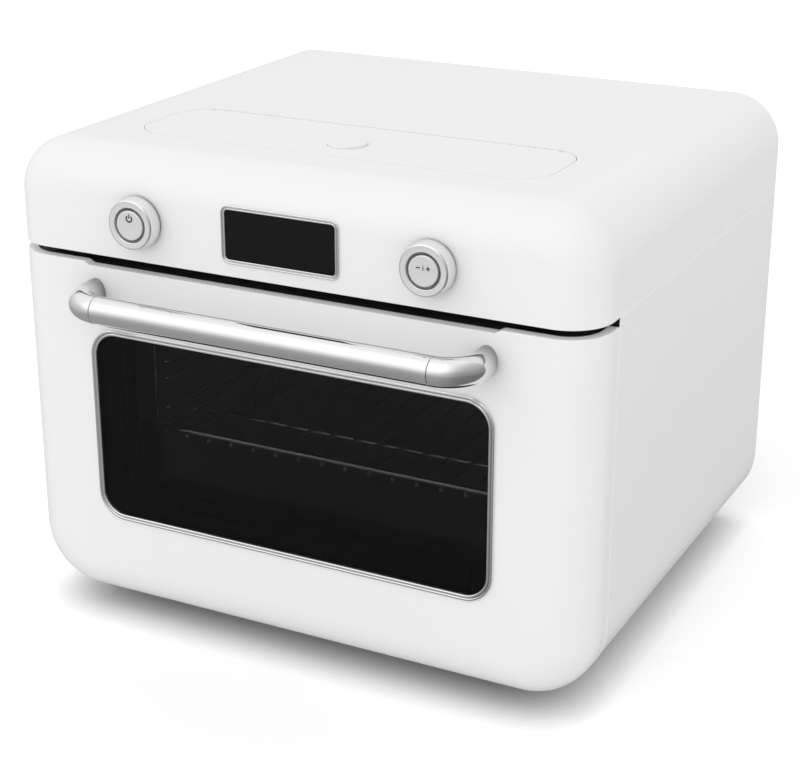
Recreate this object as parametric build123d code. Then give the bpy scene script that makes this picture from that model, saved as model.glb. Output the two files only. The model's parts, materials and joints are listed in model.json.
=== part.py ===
from build123d import *
import os

# Countertop steam oven with a drop-down door, millimetres, +Z up, front towards -Y.
# The origin is on the table under the middle of the whole object, handle included.

# Housing, outer form
body_width = 495.0
body_depth = 418.0
body_height = 383.5
top_corner_r = 42.0
bottom_corner_r = 56.0
front_edge_r = 34.0
shell_wall = 3.0
casing_wall = 0.9
fit = 0.3
shell_tall = 82.5
shell_seam = 0.8
casing_lip = 7.0
panel_flange = 2.5

# Feet
foot_height = 12.0
foot_r = 15.0
foot_from_side = 77.5
foot_inset_front = 80.0
foot_inset_back = 50.0
foot_draft = 2.0
stud_r = 4.0
stud_barb = 1.5
stud_tip = 3.0

# Door
door_depth = 45.8
door_gap = 7.0
door_wall = 1.4
door_top_wall = 5.0
door_lip = 8.0
door_cap_drop = 3.0
seam_gap = 1.2
notch_half = 172.0
notch_depth = 2.5
notch_ramp = 5.0
door_sheet = 1.2
hinge_behind_front = 16.0
hinge_height = 34.0

# Window and its trim
window_from_side = 73.0
window_low = 78.3
window_from_top = 52.7
window_corner_r = 23.5
trim_width = 5.0
trim_proud = 2.0
glass_thick = 4.0
glass_lap = 1.5
inner_glass_margin = 10.0
clip_half = 8.0
clip_sheet = 1.2

# Handle
handle_r = 11.0
handle_out = 35.0
handle_from_top = 24.2
handle_inset = 33.0
elbow_r = 25.0
foot_width = 17.0
foot_tall = 24.0
handle_screw_r = 2.5
handle_screw_length = 14.0

# Hinge
hinge_past_cavity = 25.0
arm_thick = 4.0
arm_low = 6.0
arm_high = 13.0
arm_boss_r = 5.5
pin_r = 2.5
pin_clear = 0.05
ear_thick = 2.0
ear_gap = 1.0

# Front frame and cavity
frame_recess = 2.4
frame_sheet = 1.2
cavity_from_side = 67.5
cavity_floor = 62.0
cavity_under_deck = 17.5
cavity_from_back = 113.0
cavity_wall = 0.8
cavity_corner_r = 14.0
cavity_flange = 10.0
gasket_width = 8.0
gasket_gap = 6.0

# Fan, heaters and lamp
fan_cover_stand = 28.0
fan_cover_half = 125.0
fan_cover_tall = 176.0
fan_sheet = 0.8
fan_r = 56.0
fan_eye_r = 30.0
fan_blade_count = 14
fan_blade_height = 14.0
fan_back_gap = 5.0
shaft_r = 3.0
motor_r = 27.0
motor_length = 34.0
ring_r = 70.0
rod_r = 3.2
grill_drop = 12.0
lamp_r = 19.0
lamp_length = 30.0
lamp_from_back = 90.0
lamp_up = 33.0
grill_from_wall = 75.0
grill_inner = 35.0
grill_bend_r = 22.0

# Racks and shelf
rack_wire_r = 2.0
rung_r = 1.8
rack_from_wall = 5.0
rung_from_wall = 19.0
rack_low = 127.0
rack_under_roof = 34.0
rack_front = 38.0
rack_from_back = 52.0
slot_low = 129.0
slot_gap = 15.0
slots_under_top = 20.0
slot_count = 3
shelf_from_wall = 9.0
shelf_rail_r = 2.8
shelf_wire_r = 1.5
shelf_wire_pitch = 21.0
shelf_from_back = 32.0
shelf_from_front = 11.0

# Controls
knob_x = 122.8
knob_from_top = 50.5
knob_base_r = 20.3
knob_face_r = 19.2
knob_height = 12.5
knob_foot = 1.5
knob_off = 0.8
knob_bore_r = 13.7
knob_rim_r = 1.5
sleeve_r = 13.35
sleeve_bore_r = 12.0
sleeve_recess = 2.6
cap_r = 11.45
cap_travel = 1.5
encoder_size = 26.0
encoder_depth = 19.0
display_half = 49.8
display_tall = 45.0
display_from_top = 27.5
display_corner_r = 6.5
display_trim = 3.6
display_proud = 1.5
display_glass_thick = 2.0
board_half = 155.0
board_tall = 58.0
board_from_top = 17.5
board_thick = 1.6
board_parts = ((-90, 17, 18, 14, 12), (-60, 17, 18, 14, 12), (20, 37, 26, 26, 3), (70, 22, 34, 12, 9))

# Water tank, its lid and well
lid_from_side = 73.0
lid_front = 66.0
lid_back = 161.0
lid_corner_r = 30.0
lid_gap = 0.5
lid_back_gap = 1.0
lid_thick = 5.0
lid_pivot_r = 1.8
lid_rim_drop = 3.0
lid_rim_inset = 5.0
lid_notch = 0.5
lid_notch_drop = 1.3
button_r = 15.5
button_back = 104.0
button_proud = 2.0
button_travel = 1.5
button_stem_r = 4.0
button_room = 7.0
well_wall = 2.0
well_lip = 6.0
well_over_split = 5.0
tank_clear = 1.2
tank_wall = 2.0
tank_pin_r = 0.6
ear_from_side = 44.5
ear_width = 8.0
ear_r = 1.2
ear_clear = 0.2
spout_r = 6.0
spout_from_side = 54.5
spout_drop = 7.0

# Deck and what stands on it
deck_under_split = 3.5
deck_thick = 0.9
deck_lip = 6.0
insulation_thick = 14.0
boiler_from_wall = 70.0
boiler_behind_tank = 90.0
boiler_length = 120.0
boiler_depth = 74.0
boiler_tall = 36.0
boiler_rib_pitch = 20.0
boiler_rib_tall = 5.0
nozzle_from_wall = 50.0
nozzle_ahead = 19.0
pump_from_wall = 70.0
pump_behind_tank = 70.0
pump_r = 16.0
pump_length = 56.0
tube_r = 4.0
power_board_from_side = 57.5
power_board_behind_tank = 110.0

# Back
back_recess = 2.0
back_sheet = 0.9
back_rim = 12.0
base_vent_pitch = 32.0
base_vent_width = 5.0
base_vent_length = 50.0
base_opening_from_foot = 30.0
base_opening_front = 35.0
base_opening_r = 12.0
base_lap = 12.0
vent_count = 11
vent_width = 4.0
vent_height = 44.0
vent_pitch = 12.0
vent_from_middle = 60.0
vent_over_split = 30.0
gland_r = 8.0
gland_reach = 6.0
gland_from_side = 75.0
gland_up = 45.0
cord_hole_r = 3.6
screw_r = 1.6
screw_head_r = 3.4
screw_head = 1.6

# Sizes that follow from the housing's
half_width = body_width / 2
shell_split = body_height - shell_tall
door_height = shell_split - door_gap
deck_height = shell_split - deck_under_split
foot_x = half_width - foot_from_side
base_opening_half = foot_x - base_opening_from_foot
window_half = half_width - window_from_side
window_high = door_height - window_from_top
handle_z = door_height - handle_from_top
handle_joint_x = window_half - handle_inset
cavity_half = half_width - cavity_from_side
cavity_height = deck_height - cavity_under_deck - cavity_floor
cavity_depth = body_depth - cavity_from_back
hinge_x = cavity_half + hinge_past_cavity
rack_x = cavity_half - rack_from_wall
rung_x = cavity_half - rung_from_wall
rack_high = cavity_floor + cavity_height - rack_under_roof
rack_length = cavity_depth - rack_front - rack_from_back
slot_pitch = (rack_high - slots_under_top - slot_gap - slot_low) / (slot_count - 1)
shelf_half = cavity_half - shelf_from_wall
shelf_length = cavity_depth - shelf_from_front - shelf_from_back
knob_z = body_height - knob_from_top
display_high = body_height - display_from_top
display_low = display_high - display_tall
board_high = body_height - board_from_top
board_low = board_high - board_tall
lid_half = half_width - lid_from_side
ear_x = lid_half - ear_from_side
spout_x = lid_half - spout_from_side

# Places worked out from the sizes above
handle_reach = handle_out + handle_r
front_y = handle_reach - (handle_reach + body_depth + gland_reach) / 2
back_y = front_y + body_depth
base_z = foot_height
top_z = base_z + body_height
seam_y = front_y + door_depth
split_z = base_z + shell_split
door_top_z = base_z + door_height
hinge_y = front_y + hinge_behind_front
hinge_z = base_z + hinge_height
door_back_y = seam_y - seam_gap / 2
casing_front_y = seam_y + seam_gap / 2
frame_y = casing_front_y + frame_recess
cavity_y = frame_y + frame_sheet
cavity_back_y = cavity_y + cavity_depth
floor_z = base_z + cavity_floor
roof_z = floor_z + cavity_height
door_sheet_y = door_back_y - door_sheet
fan_z = (floor_z + roof_z) / 2
fan_cover_y = cavity_back_y - fan_cover_stand
deck_z = base_z + deck_height
deck_top = deck_z + deck_thick
panel_back_y = front_y + shell_wall
lid_y = front_y + (lid_front + lid_back) / 2
lid_depth = lid_back - lid_front
lid_bottom = top_z - lid_thick
lid_edge_y = front_y + lid_back + lid_gap - lid_back_gap
pivot_y = lid_edge_y - lid_pivot_r
pivot_z = top_z - lid_pivot_r
well_z = split_z + well_over_split
tank_bottom = well_z + well_wall + fit
tank_top = lid_bottom - fit
far = 2 * body_width


def slab_x(sketch, low, high):
    """A sketch drawn in (y, z), as a slab from x = low to x = high."""
    return extrude(Pos(low, 0, 0) * (Plane.YZ * sketch), amount=high - low)


def slab_y(sketch, low, high):
    """A sketch drawn in (x, z), as a slab from y = low to y = high."""
    return extrude(Pos(0, high, 0) * (Plane.XZ * sketch), amount=high - low)


def slab_z(sketch, low, high):
    """A sketch drawn in (x, y), as a slab from z = low to z = high."""
    return extrude(Pos(0, 0, low) * sketch, amount=high - low)


def block(x0, x1, y0, y1, z0, z1):
    """A plain block between two corners."""
    return Pos((x0 + x1) / 2, (y0 + y1) / 2, (z0 + z1) / 2) * Box(x1 - x0, y1 - y0, z1 - z0)


def rounded(width, height, radius, across=0.0, up=0.0):
    """A rounded rectangle about the point (across, up)."""
    return Pos(across, up) * RectangleRounded(width, height, radius)


def rod_x(radius, x0, x1, y, z):
    return slab_x(Pos(y, z) * Circle(radius), x0, x1)


def rod_y(radius, y0, y1, x, z):
    return slab_y(Pos(x, z) * Circle(radius), y0, y1)


def rod_z(radius, z0, z1, x, y):
    return slab_z(Pos(x, y) * Circle(radius), z0, z1)


def mirrored(solid):
    """The same piece on the other side of the oven."""
    return mirror(solid, about=Plane.YZ)


def both(piece):
    """The left and the right piece of a pair, as two solids."""
    return Compound([piece(-1), piece(1)])


def body_section(inset=0.0):
    """The oven seen from the front: wide radii at its foot, smaller ones at its top."""
    middle = base_z + body_height / 2
    section = Pos(0, middle) * Rectangle(body_width - 2 * inset, body_height - 2 * inset)
    section = fillet(section.vertices().group_by(Axis.Y)[0], bottom_corner_r - inset)
    return fillet(section.vertices().group_by(Axis.Y)[-1], top_corner_r - inset)


def body_form(inset=0.0, rear=0.0):
    """The outer form with its rounded front edge, drawn in by inset and run on past the back by rear."""
    solid = slab_y(body_section(inset), front_y + inset, back_y + rear)
    return fillet(solid.edges().group_by(Axis.Y)[0], front_edge_r - inset)


def ahead_of_seam(offset, top):
    """All that lies ahead of the door's seam, moved back by offset.

    The seam runs straight down to the hinge's height, and then forward under the door on a
    circle about the hinge, so that the door's foot turns past the housing with an even gap.
    """
    radius = seam_y + offset - hinge_y
    low = hinge_z - radius
    back = seam_y + offset
    sides = Polyline((hinge_y, low), (-far, low), (-far, top), (back, top), (back, hinge_z))
    foot = CenterArc((hinge_y, hinge_z), radius, -90, 90)
    return slab_x(make_face([*sides.edges(), foot]), -far, far)


def seam_sheet(offset, thick, top):
    """A bent sheet that follows the seam, its front face moved back by offset."""
    return ahead_of_seam(offset + thick, top) - ahead_of_seam(offset, top + 1)


def window_outline(grow):
    """The window trim's outer outline, grown by grow."""
    return rounded(
        2 * (window_half + grow),
        window_high - window_low + 2 * grow,
        window_corner_r + grow,
        up=base_z + (window_high + window_low) / 2,
    )


def display_outline(grow):
    return rounded(
        2 * (display_half + grow),
        display_high - display_low + 2 * grow,
        display_corner_r + grow,
        up=base_z + (display_high + display_low) / 2,
    )


def cavity_outline(grow):
    return rounded(
        2 * (cavity_half + grow), cavity_height + 2 * grow, cavity_corner_r + grow, up=(floor_z + roof_z) / 2
    )


def lid_outline(grow):
    return rounded(2 * (lid_half + grow), lid_depth + 2 * grow, lid_corner_r + grow, up=lid_y)


def hinge_slot(side, low, high, y0, y1):
    """The slot that lets one hinge arm through, with 1 mm to spare on each side."""
    x = side * hinge_x
    half = arm_thick / 2 + ear_gap
    return block(x - half, x + half, y0, y1, low, high)


# Housing


def top_shell():
    """The white upper shell with the control panel, the tank's opening and a flange over the door."""
    form = body_form() & block(-far, far, -far, far, split_z, top_z + 1)
    inside = body_form(shell_wall, 1)
    form -= inside & block(-far, far, -far, far, split_z + panel_flange, top_z)
    form -= inside & block(-far, far, frame_y, far, split_z - 1, top_z)
    form -= slab_z(lid_outline(lid_gap), lid_bottom, top_z + 1)
    form -= slab_y(display_outline(-display_trim / 2), front_y - 1, panel_back_y + 1)
    for side in (-1, 1):
        form -= rod_y(sleeve_r + fit, front_y - 1, panel_back_y + 1, side * knob_x, base_z + knob_z)
    return form


def lower_casing():
    """The wrap of the lower body, with the lip that runs on under the door's foot."""
    form = body_form() & block(-far, far, -far, far, base_z - 1, split_z - shell_seam)
    form -= body_form(casing_wall, 1)
    form -= ahead_of_seam(seam_gap / 2, top_z)
    form -= block(-far, far, -far, hinge_y + casing_lip, 0, hinge_z)
    form -= slab_z(base_opening(0), base_z - 1, base_z + casing_wall + 1)
    for x, y in foot_places():
        form -= rod_z(stud_r, base_z - 1, base_z + casing_wall + 1, x, y)
    return form


def base_opening(grow):
    depth = body_depth - door_depth - 2 * base_opening_front
    middle = seam_y + base_opening_front + depth / 2
    return rounded(2 * (base_opening_half + grow), depth + 2 * grow, base_opening_r + grow, up=middle)


def base_plate():
    """The ventilated plate on the inside of the casing's floor."""
    low = base_z + casing_wall
    plate = slab_z(base_opening(base_lap), low, low + back_sheet)
    vent = SlotOverall(base_vent_length, base_vent_width, rotation=90)
    for row in (-1, 1):
        y = (seam_y + back_y) / 2 + row * base_vent_length * 1.4
        for n in range(-3, 4):
            plate -= slab_z(Pos(n * base_vent_pitch, y) * vent, low - 1, low + 3)
    return plate


def foot_places():
    rows = (front_y + foot_inset_front, back_y - foot_inset_back)
    return [(side * foot_x, y) for side in (-1, 1) for y in rows]


def feet():
    """Four rubber feet with studs pushed through the casing."""
    inside = foot_height + casing_wall
    outline = Polyline(
        (0, 0), (foot_r - foot_draft, 0), (foot_r, foot_height), (stud_r, foot_height), (stud_r, inside),
        (stud_r + stud_barb, inside), (stud_r, inside + stud_tip), (0, inside + stud_tip), close=True,
    )
    foot = revolve(Plane.XZ * make_face(outline), Axis.Z)
    return Compound([Pos(x, y, 0) * foot for x, y in foot_places()])


def back_panel():
    """A tray-shaped steel back with vents, set between the casing's and the shell's walls."""
    face = back_y - back_recess
    outline = body_section(shell_wall + fit)
    panel = slab_y(outline, face - back_rim, face) - slab_y(
        body_section(shell_wall + fit + back_sheet), face - back_rim - 1, face - back_sheet
    )
    upright_slot = SlotOverall(vent_height, vent_width, rotation=90)
    for z in (fan_z, split_z + vent_over_split):
        for side in (-1, 1):
            for n in range(vent_count):
                vent = Pos(side * (vent_from_middle + n * vent_pitch), z) * upright_slot
                panel -= slab_y(vent, face - 5, face + 1)
    panel -= rod_y(gland_r, face - 5, face + 1, gland_place()[0], gland_place()[1])
    for x, z in back_screw_places():
        panel -= rod_y(screw_r, face - 5, face + 1, x, z)
    return panel


def gland_place():
    return (half_width - gland_from_side, base_z + gland_up)


def cord_gland():
    """The bushing that the supply cord would come out of."""
    face = back_y - back_recess
    x, z = gland_place()
    gland = rod_y(gland_r + 3, face, back_y + gland_reach - 2, x, z)
    gland = fillet(gland.edges().group_by(Axis.Y)[-1], 1.5)
    gland += rod_y(gland_r - 1.5, face, back_y + gland_reach, x, z)
    gland += rod_y(gland_r - fit / 2, face - back_sheet - 6, face, x, z)
    return gland - rod_y(cord_hole_r, face - 20, back_y + 20, x, z)


def back_screw_places():
    xs = (half_width - 60, half_width - 185)
    return [(side * x, z) for side in (-1, 1) for x in xs for z in (base_z + 20, top_z - 18)]


def back_screws():
    face = back_y - back_recess
    screws = [
        rod_y(screw_head_r, face, face + screw_head, x, z) + rod_y(screw_r - 0.1, face - 8, face, x, z)
        for x, z in back_screw_places()
    ]
    return Compound(screws)


def front_frame():
    """The black front of the body: it carries the cavity's mouth and dips under the door's foot."""
    sheet = seam_sheet(seam_gap / 2 + frame_recess, frame_sheet, split_z - fit)
    sheet &= body_form(casing_wall + fit)
    sheet -= slab_y(cavity_outline(0), frame_y - 1, cavity_y + 1)
    for side in (-1, 1):
        low, high = hinge_z + arm_low - ear_gap, hinge_z + arm_high + ear_gap
        sheet -= hinge_slot(side, low, high, frame_y - 1, cavity_y + 1)
        for z in hinge_screw_heights():
            sheet -= rod_y(screw_r, frame_y - 1, cavity_y + 1, side * hinge_x, z)
    return sheet


# Hinges


def hinge_screw_heights():
    return (hinge_z + arm_high + 9, hinge_z + arm_high + 21)


def hinge_arm(side):
    """A hooked steel arm, screwed to the back of the front frame."""
    x = side * hinge_x
    low, high = x - arm_thick / 2, x + arm_thick / 2
    arm = block(low, high, hinge_y - arm_boss_r, cavity_y + 26, hinge_z + arm_low, hinge_z + arm_high)
    arm += block(low, high, hinge_y - arm_boss_r, hinge_y + arm_boss_r, hinge_z, hinge_z + arm_low + 1)
    arm += rod_x(arm_boss_r, low, high, hinge_y, hinge_z)
    arm += block(low, high, cavity_y, cavity_y + 26, hinge_z + arm_low, hinge_z + arm_high + 28)
    arm += block(x - 9, x + 9, cavity_y, cavity_y + 2.5, hinge_z + arm_high + 3, hinge_z + arm_high + 28)
    arm -= rod_x(pin_r + pin_clear, low - 1, high + 1, hinge_y, hinge_z)
    for z in hinge_screw_heights():
        arm -= rod_y(screw_r, cavity_y - 1, cavity_y + 12, x, z)
    return arm


def hinge_screws():
    screws = [
        rod_y(screw_head_r, frame_y - screw_head, frame_y, side * hinge_x, z)
        + rod_y(screw_r - 0.1, frame_y, cavity_y + 10, side * hinge_x, z)
        for side in (-1, 1)
        for z in hinge_screw_heights()
    ]
    return Compound(screws)


def door_bracket(side):
    """A pair of ears on a web, spot-welded to the door's inner sheet, holding one hinge pin."""
    x = side * hinge_x
    inner = arm_thick / 2 + ear_gap
    outer = inner + ear_thick
    web_low = hinge_z + arm_high + ear_gap + 1
    bracket = block(x - outer, x + outer, door_sheet_y - 2, door_sheet_y, web_low, web_low + 14)
    for low in (x - outer, x + inner):
        ear = block(low, low + ear_thick, hinge_y - 6, door_sheet_y, hinge_z, web_low + 14)
        ear += rod_x(6, low, low + ear_thick, hinge_y, hinge_z)
        bracket += ear
    return bracket - rod_x(pin_r + pin_clear, x - outer - 1, x + outer + 1, hinge_y, hinge_z)


def hinge_pin(side):
    x = side * hinge_x
    reach = arm_thick / 2 + ear_gap + ear_thick
    pin = rod_x(pin_r, x - reach, x + reach, hinge_y, hinge_z)
    return pin + rod_x(pin_r + 1.5, x + side * reach, x + side * (reach + 1.5), hinge_y, hinge_z)


# Door


def door_shell():
    """The white door skin: front, sides, foot and a narrow lip at the top, open to the back."""
    form = body_form() & ahead_of_seam(-seam_gap / 2, door_top_z)
    form = fillet(form.edges().group_by(Axis.Z)[-1], 1.2)
    ramp = notch_half + notch_ramp
    notch = Polyline(
        (-ramp, door_top_z), (-notch_half, door_top_z - notch_depth), (notch_half, door_top_z - notch_depth),
        (ramp, door_top_z), (ramp, door_top_z + 5), (-ramp, door_top_z + 5), close=True,
    )
    form -= slab_y(make_face(notch), front_y - 1, seam_y + 1)
    shoulder = door_top_z - door_top_wall
    form -= body_form(door_wall, 1) & block(-far, far, -far, far, base_z, shoulder)
    form -= body_form(door_lip, 1) & block(-far, far, -far, far, shoulder - 1, door_top_z + 1)
    form -= slab_y(window_outline(glass_lap - trim_width + fit), front_y - 1, front_y + 10)
    for side in (-1, 1):
        x, z = side * handle_foot_x(), base_z + handle_z
        form -= rod_y(handle_screw_r + 0.2, front_y - 1, front_y + 10, x, z)
    return form


def door_glass():
    """The dark outer pane, its face level with the door's."""
    return slab_y(window_outline(glass_lap - trim_width), front_y, front_y + glass_thick)


def window_trim():
    """The chrome ring round the pane: two round beads side by side."""
    bead = trim_width / 2
    ring = None
    for grow in (0, -bead):
        part = slab_y(window_outline(grow), front_y - trim_proud, front_y) - slab_y(
            window_outline(grow - bead), front_y - trim_proud - 1, front_y + 1
        )
        part = fillet(part.edges().group_by(Axis.Y)[0], bead * 0.42)
        ring = part if ring is None else ring + part
    return ring


def door_inner_sheet():
    """The black inner sheet of the door, bent round the hinge at its foot and forward at its top."""
    shoulder = door_top_z - door_top_wall - fit
    top = door_top_z - door_cap_drop
    sheet = seam_sheet(-seam_gap / 2 - door_sheet, door_sheet, shoulder)
    sheet &= body_form(door_wall + fit)
    cap = ahead_of_seam(-seam_gap / 2, top)
    cap -= ahead_of_seam(-seam_gap / 2 - door_sheet, top - door_sheet)
    sheet += cap & body_form(door_lip + fit) & block(-far, far, -far, far, shoulder - 1, top)
    sheet -= slab_y(window_outline(-inner_glass_margin), door_sheet_y - 1, seam_y)
    for side in (-1, 1):
        top = hinge_z + arm_high + ear_gap
        sheet -= hinge_slot(side, base_z, top, hinge_y + arm_low - ear_gap, seam_y)
    return sheet


def door_inner_glass():
    """The clear inner pane, clamped behind the inner sheet's opening."""
    pane = window_outline(2)
    return slab_y(pane, door_sheet_y - glass_thick, door_sheet_y)


def glass_clips():
    """Spring clips that hold the inner pane, four along its top and four along its foot.

    Each is a foot on the inner sheet, a leg past the pane's edge and a lip over its face.
    """
    clips = []
    face = door_sheet_y - glass_thick
    sheet_front = door_sheet_y - clip_sheet
    for z, sign in ((base_z + window_high, 1), (base_z + window_low, -1)):
        for n in range(4):
            x = (n - 1.5) * window_half / 2
            clip = None
            for near, past, front, back in (
                (4, 14, sheet_front, door_sheet_y),
                (-8, 6, face - clip_sheet, face),
                (4, 6, face - clip_sheet, door_sheet_y),
            ):
                low, high = sorted((z + sign * near, z + sign * past))
                part = block(x - clip_half, x + clip_half, front, back, low, high)
                clip = part if clip is None else clip + part
            clips.append(clip)
    return Compound(clips)


# Handle


def handle_foot_x():
    return handle_joint_x + elbow_r


def handle_bar():
    """The straight chrome tube between the elbows."""
    y, z = front_y - handle_out, base_z + handle_z
    bar = rod_x(handle_r, -handle_joint_x + 0.2, handle_joint_x - 0.2, y, z)
    return bar - rod_x(handle_r - 2, -handle_joint_x - 1, handle_joint_x + 1, y, z)


def handle_elbow(side):
    """A cast elbow: round where it meets the bar, an upright oval on the door."""
    y, z = front_y - handle_out, base_z + handle_z
    bend = CenterArc((handle_joint_x, y + elbow_r, z), elbow_r, -90, 90)
    start = Plane(origin=(handle_joint_x, y, z), x_dir=(0, 1, 0), z_dir=(1, 0, 0))
    elbow = sweep(start * Circle(handle_r), path=bend)
    neck_end = Plane(origin=(handle_foot_x(), y + elbow_r, z), x_dir=(1, 0, 0), z_dir=(0, 1, 0))
    foot_face = Plane(origin=(handle_foot_x(), front_y, z), x_dir=(1, 0, 0), z_dir=(0, 1, 0))
    neck = loft([neck_end * Circle(handle_r), foot_face * Ellipse(foot_width / 2, foot_tall / 2)])
    elbow += neck
    elbow += rod_x(handle_r - 2 - 0.1, handle_joint_x - 9, handle_joint_x + 0.5, y, z)
    elbow -= rod_y(handle_screw_r, front_y - handle_screw_length + door_wall, front_y + 1, handle_foot_x(), z)
    return elbow if side > 0 else mirrored(elbow)


def handle_screws():
    back = front_y + door_wall
    screws = []
    for side in (-1, 1):
        x, z = side * handle_foot_x(), base_z + handle_z
        shank = rod_y(handle_screw_r - 0.05, back - handle_screw_length + 1, back, x, z)
        screws.append(shank + rod_y(handle_screw_r * 1.9, back, back + 3, x, z))
    return Compound(screws)


# Cavity


def cavity():
    """The stainless oven box with its front flange."""
    box = slab_y(cavity_outline(cavity_wall), cavity_y, cavity_back_y + cavity_wall)
    box -= slab_y(cavity_outline(0), cavity_y - 1, cavity_back_y)
    flange = slab_y(cavity_outline(cavity_flange), cavity_y, cavity_y + cavity_wall)
    box += flange - slab_y(cavity_outline(0), cavity_y - 1, cavity_y + 2)
    box -= rod_y(shaft_r + 2, cavity_back_y - 1, cavity_back_y + 5, 0, fan_z)
    box -= rod_x(lamp_r - 3, -cavity_half - 5, -cavity_half + 5, lamp_place()[0], lamp_place()[1])
    x, y = nozzle_place()
    box -= rod_z(tube_r + 0.1, roof_z - 5, roof_z + 5, x, y)
    return box


def cavity_gasket():
    """The soft seal on the front frame round the cavity's mouth."""
    front = door_back_y + fit
    ring = slab_y(cavity_outline(gasket_gap + gasket_width), front, frame_y)
    ring = fillet(ring.edges().group_by(Axis.Y)[0], 1.5)
    return ring - slab_y(cavity_outline(gasket_gap), front - 1, frame_y + 1)


def insulation():
    """The blanket over the cavity's top and sides, behind its flange."""
    start = cavity_y + cavity_wall + 8
    end = cavity_back_y - 4
    grow = cavity_wall + fit
    wrap = slab_y(cavity_outline(grow + insulation_thick), start, end)
    wrap -= slab_y(cavity_outline(grow), start - 1, end + 1)
    wrap &= block(-far, far, -far, far, floor_z + 8, roof_z + 60)
    wrap -= rod_x(lamp_r + 3, -far, 0, lamp_place()[0], lamp_place()[1])
    x, y = nozzle_place()
    return wrap - rod_z(tube_r + 2, roof_z - 5, roof_z + 60, x, y)


def fan_cover():
    """The pressed cover in front of the fan: slots over its eye and louvres at its sides."""
    outline = rounded(2 * fan_cover_half, fan_cover_tall, 16, up=fan_z)
    cover = slab_y(outline, fan_cover_y, cavity_back_y)
    cover -= slab_y(
        rounded(2 * (fan_cover_half - fan_sheet), fan_cover_tall - 2 * fan_sheet, 16 - fan_sheet, up=fan_z),
        fan_cover_y + fan_sheet,
        cavity_back_y + 1,
    )
    for n in range(12):
        slot = Rot(0, 0, n * 30) * (Pos(24, 0) * SlotOverall(28, 5))
        cover -= slab_y(Pos(0, fan_z) * slot, fan_cover_y - 1, fan_cover_y + 2)
    for side in (-1, 1):
        for n in range(7):
            place = Pos(side * (fan_cover_half - 24), fan_z + (n - 3) * 18)
            cover -= slab_y(place * SlotOverall(26, 5), fan_cover_y - 1, fan_cover_y + 2)
    return cover


def fan_wheel():
    """A centrifugal wheel: disc, hub and leaning blades."""
    back = cavity_back_y - fan_back_gap
    disc = rod_y(fan_r, back - 1.2, back, 0, fan_z)
    wheel = disc + rod_y(shaft_r + 5, back - 10, back, 0, fan_z)
    chord = fan_r - fan_eye_r
    for n in range(fan_blade_count):
        blade = Rot(0, 0, n * 360 / fan_blade_count) * (
            Pos((fan_r + fan_eye_r) / 2, 0) * Rectangle(chord, 1.2, rotation=28)
        )
        wheel += slab_y(Pos(0, fan_z) * blade, back - 1.2 - fan_blade_height, back - 1)
    return wheel - rod_y(shaft_r, back - 8, back + 1, 0, fan_z)


def fan_shaft():
    back = cavity_back_y - fan_back_gap
    return rod_y(shaft_r, back - 8, cavity_back_y + cavity_wall + 20, 0, fan_z)


def fan_motor():
    """The motor on a four-legged plate behind the cavity."""
    start = cavity_back_y + cavity_wall
    plate = slab_y(rounded(84, 84, 10, up=fan_z), start + 8, start + 9.5)
    motor = plate + rod_y(motor_r, start + 9, start + 9 + motor_length, 0, fan_z)
    for x in (-34, 34):
        for z in (-34, 34):
            motor += rod_y(3, start, start + 8.5, x, fan_z + z)
    return motor - rod_y(shaft_r + 0.08, start + 5, start + 25, 0, fan_z)


def ring_heater():
    """The round element about the fan, with two legs out through the back."""
    y = cavity_back_y - 13
    gap_x = 12
    drop = (ring_r**2 - gap_x**2) ** 0.5
    start = Plane(origin=(0, y, fan_z), x_dir=(1, 0, 0), z_dir=(0, -1, 0))
    swing = 10
    arc = start * CenterArc((0, 0), ring_r, -90 + swing, 360 - 2 * swing)
    section = Plane(origin=arc @ 0, z_dir=arc % 0) * Circle(rod_r)
    heater = sweep(section, path=arc)
    for end in (arc @ 0, arc @ 1):
        heater += rod_y(rod_r, y, cavity_back_y, end.X, end.Z) + Pos(end.X, y, end.Z) * Sphere(rod_r)
    return heater


def grill_element():
    """The top element: one rod in four runs, its ends out through the back."""
    z = roof_z - grill_drop
    near, past = cavity_y + 45, fan_cover_y - 26
    outer = cavity_half - grill_from_wall
    xs = (-outer, -grill_inner, grill_inner, outer)
    points = [(xs[0], cavity_back_y, z), (xs[0], near, z), (xs[1], near, z), (xs[1], past, z)]
    points += [(xs[2], past, z), (xs[2], near, z), (xs[3], near, z), (xs[3], cavity_back_y, z)]
    path = FilletPolyline(*points, radius=grill_bend_r)
    section = Plane(origin=points[0], z_dir=(0, -1, 0)) * Circle(rod_r)
    return sweep(section, path=path)


def grill_hangers():
    """Strips from the roof that carry the top element."""
    z = roof_z - grill_drop
    y = (cavity_y + fan_cover_y) / 2
    outer = cavity_half - grill_from_wall
    hangers = []
    for x in (-outer, outer):
        strip = block(x - 6, x + 6, y - 5, y + 5, z - rod_r - 1, z - rod_r)
        strip += block(x + rod_r + 0.5, x + rod_r + 1.5, y - 5, y + 5, z - rod_r - 1, roof_z)
        hangers.append(strip)
    return Compound(hangers)


def lamp_place():
    return (cavity_back_y - lamp_from_back, floor_z + lamp_up)


def lamp_lens():
    y, z = lamp_place()
    lens = rod_x(lamp_r, -cavity_half, -cavity_half + 3, y, z)
    return fillet(lens.edges().group_by(Axis.X)[-1], 2)


def lamp_holder():
    y, z = lamp_place()
    outer = -cavity_half - cavity_wall
    holder = rod_x(lamp_r + 1, outer - lamp_length, outer, y, z)
    holder -= rod_x(lamp_r - 3, outer - lamp_length + 2, outer + 1, y, z)
    return holder


# Racks and shelf


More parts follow.
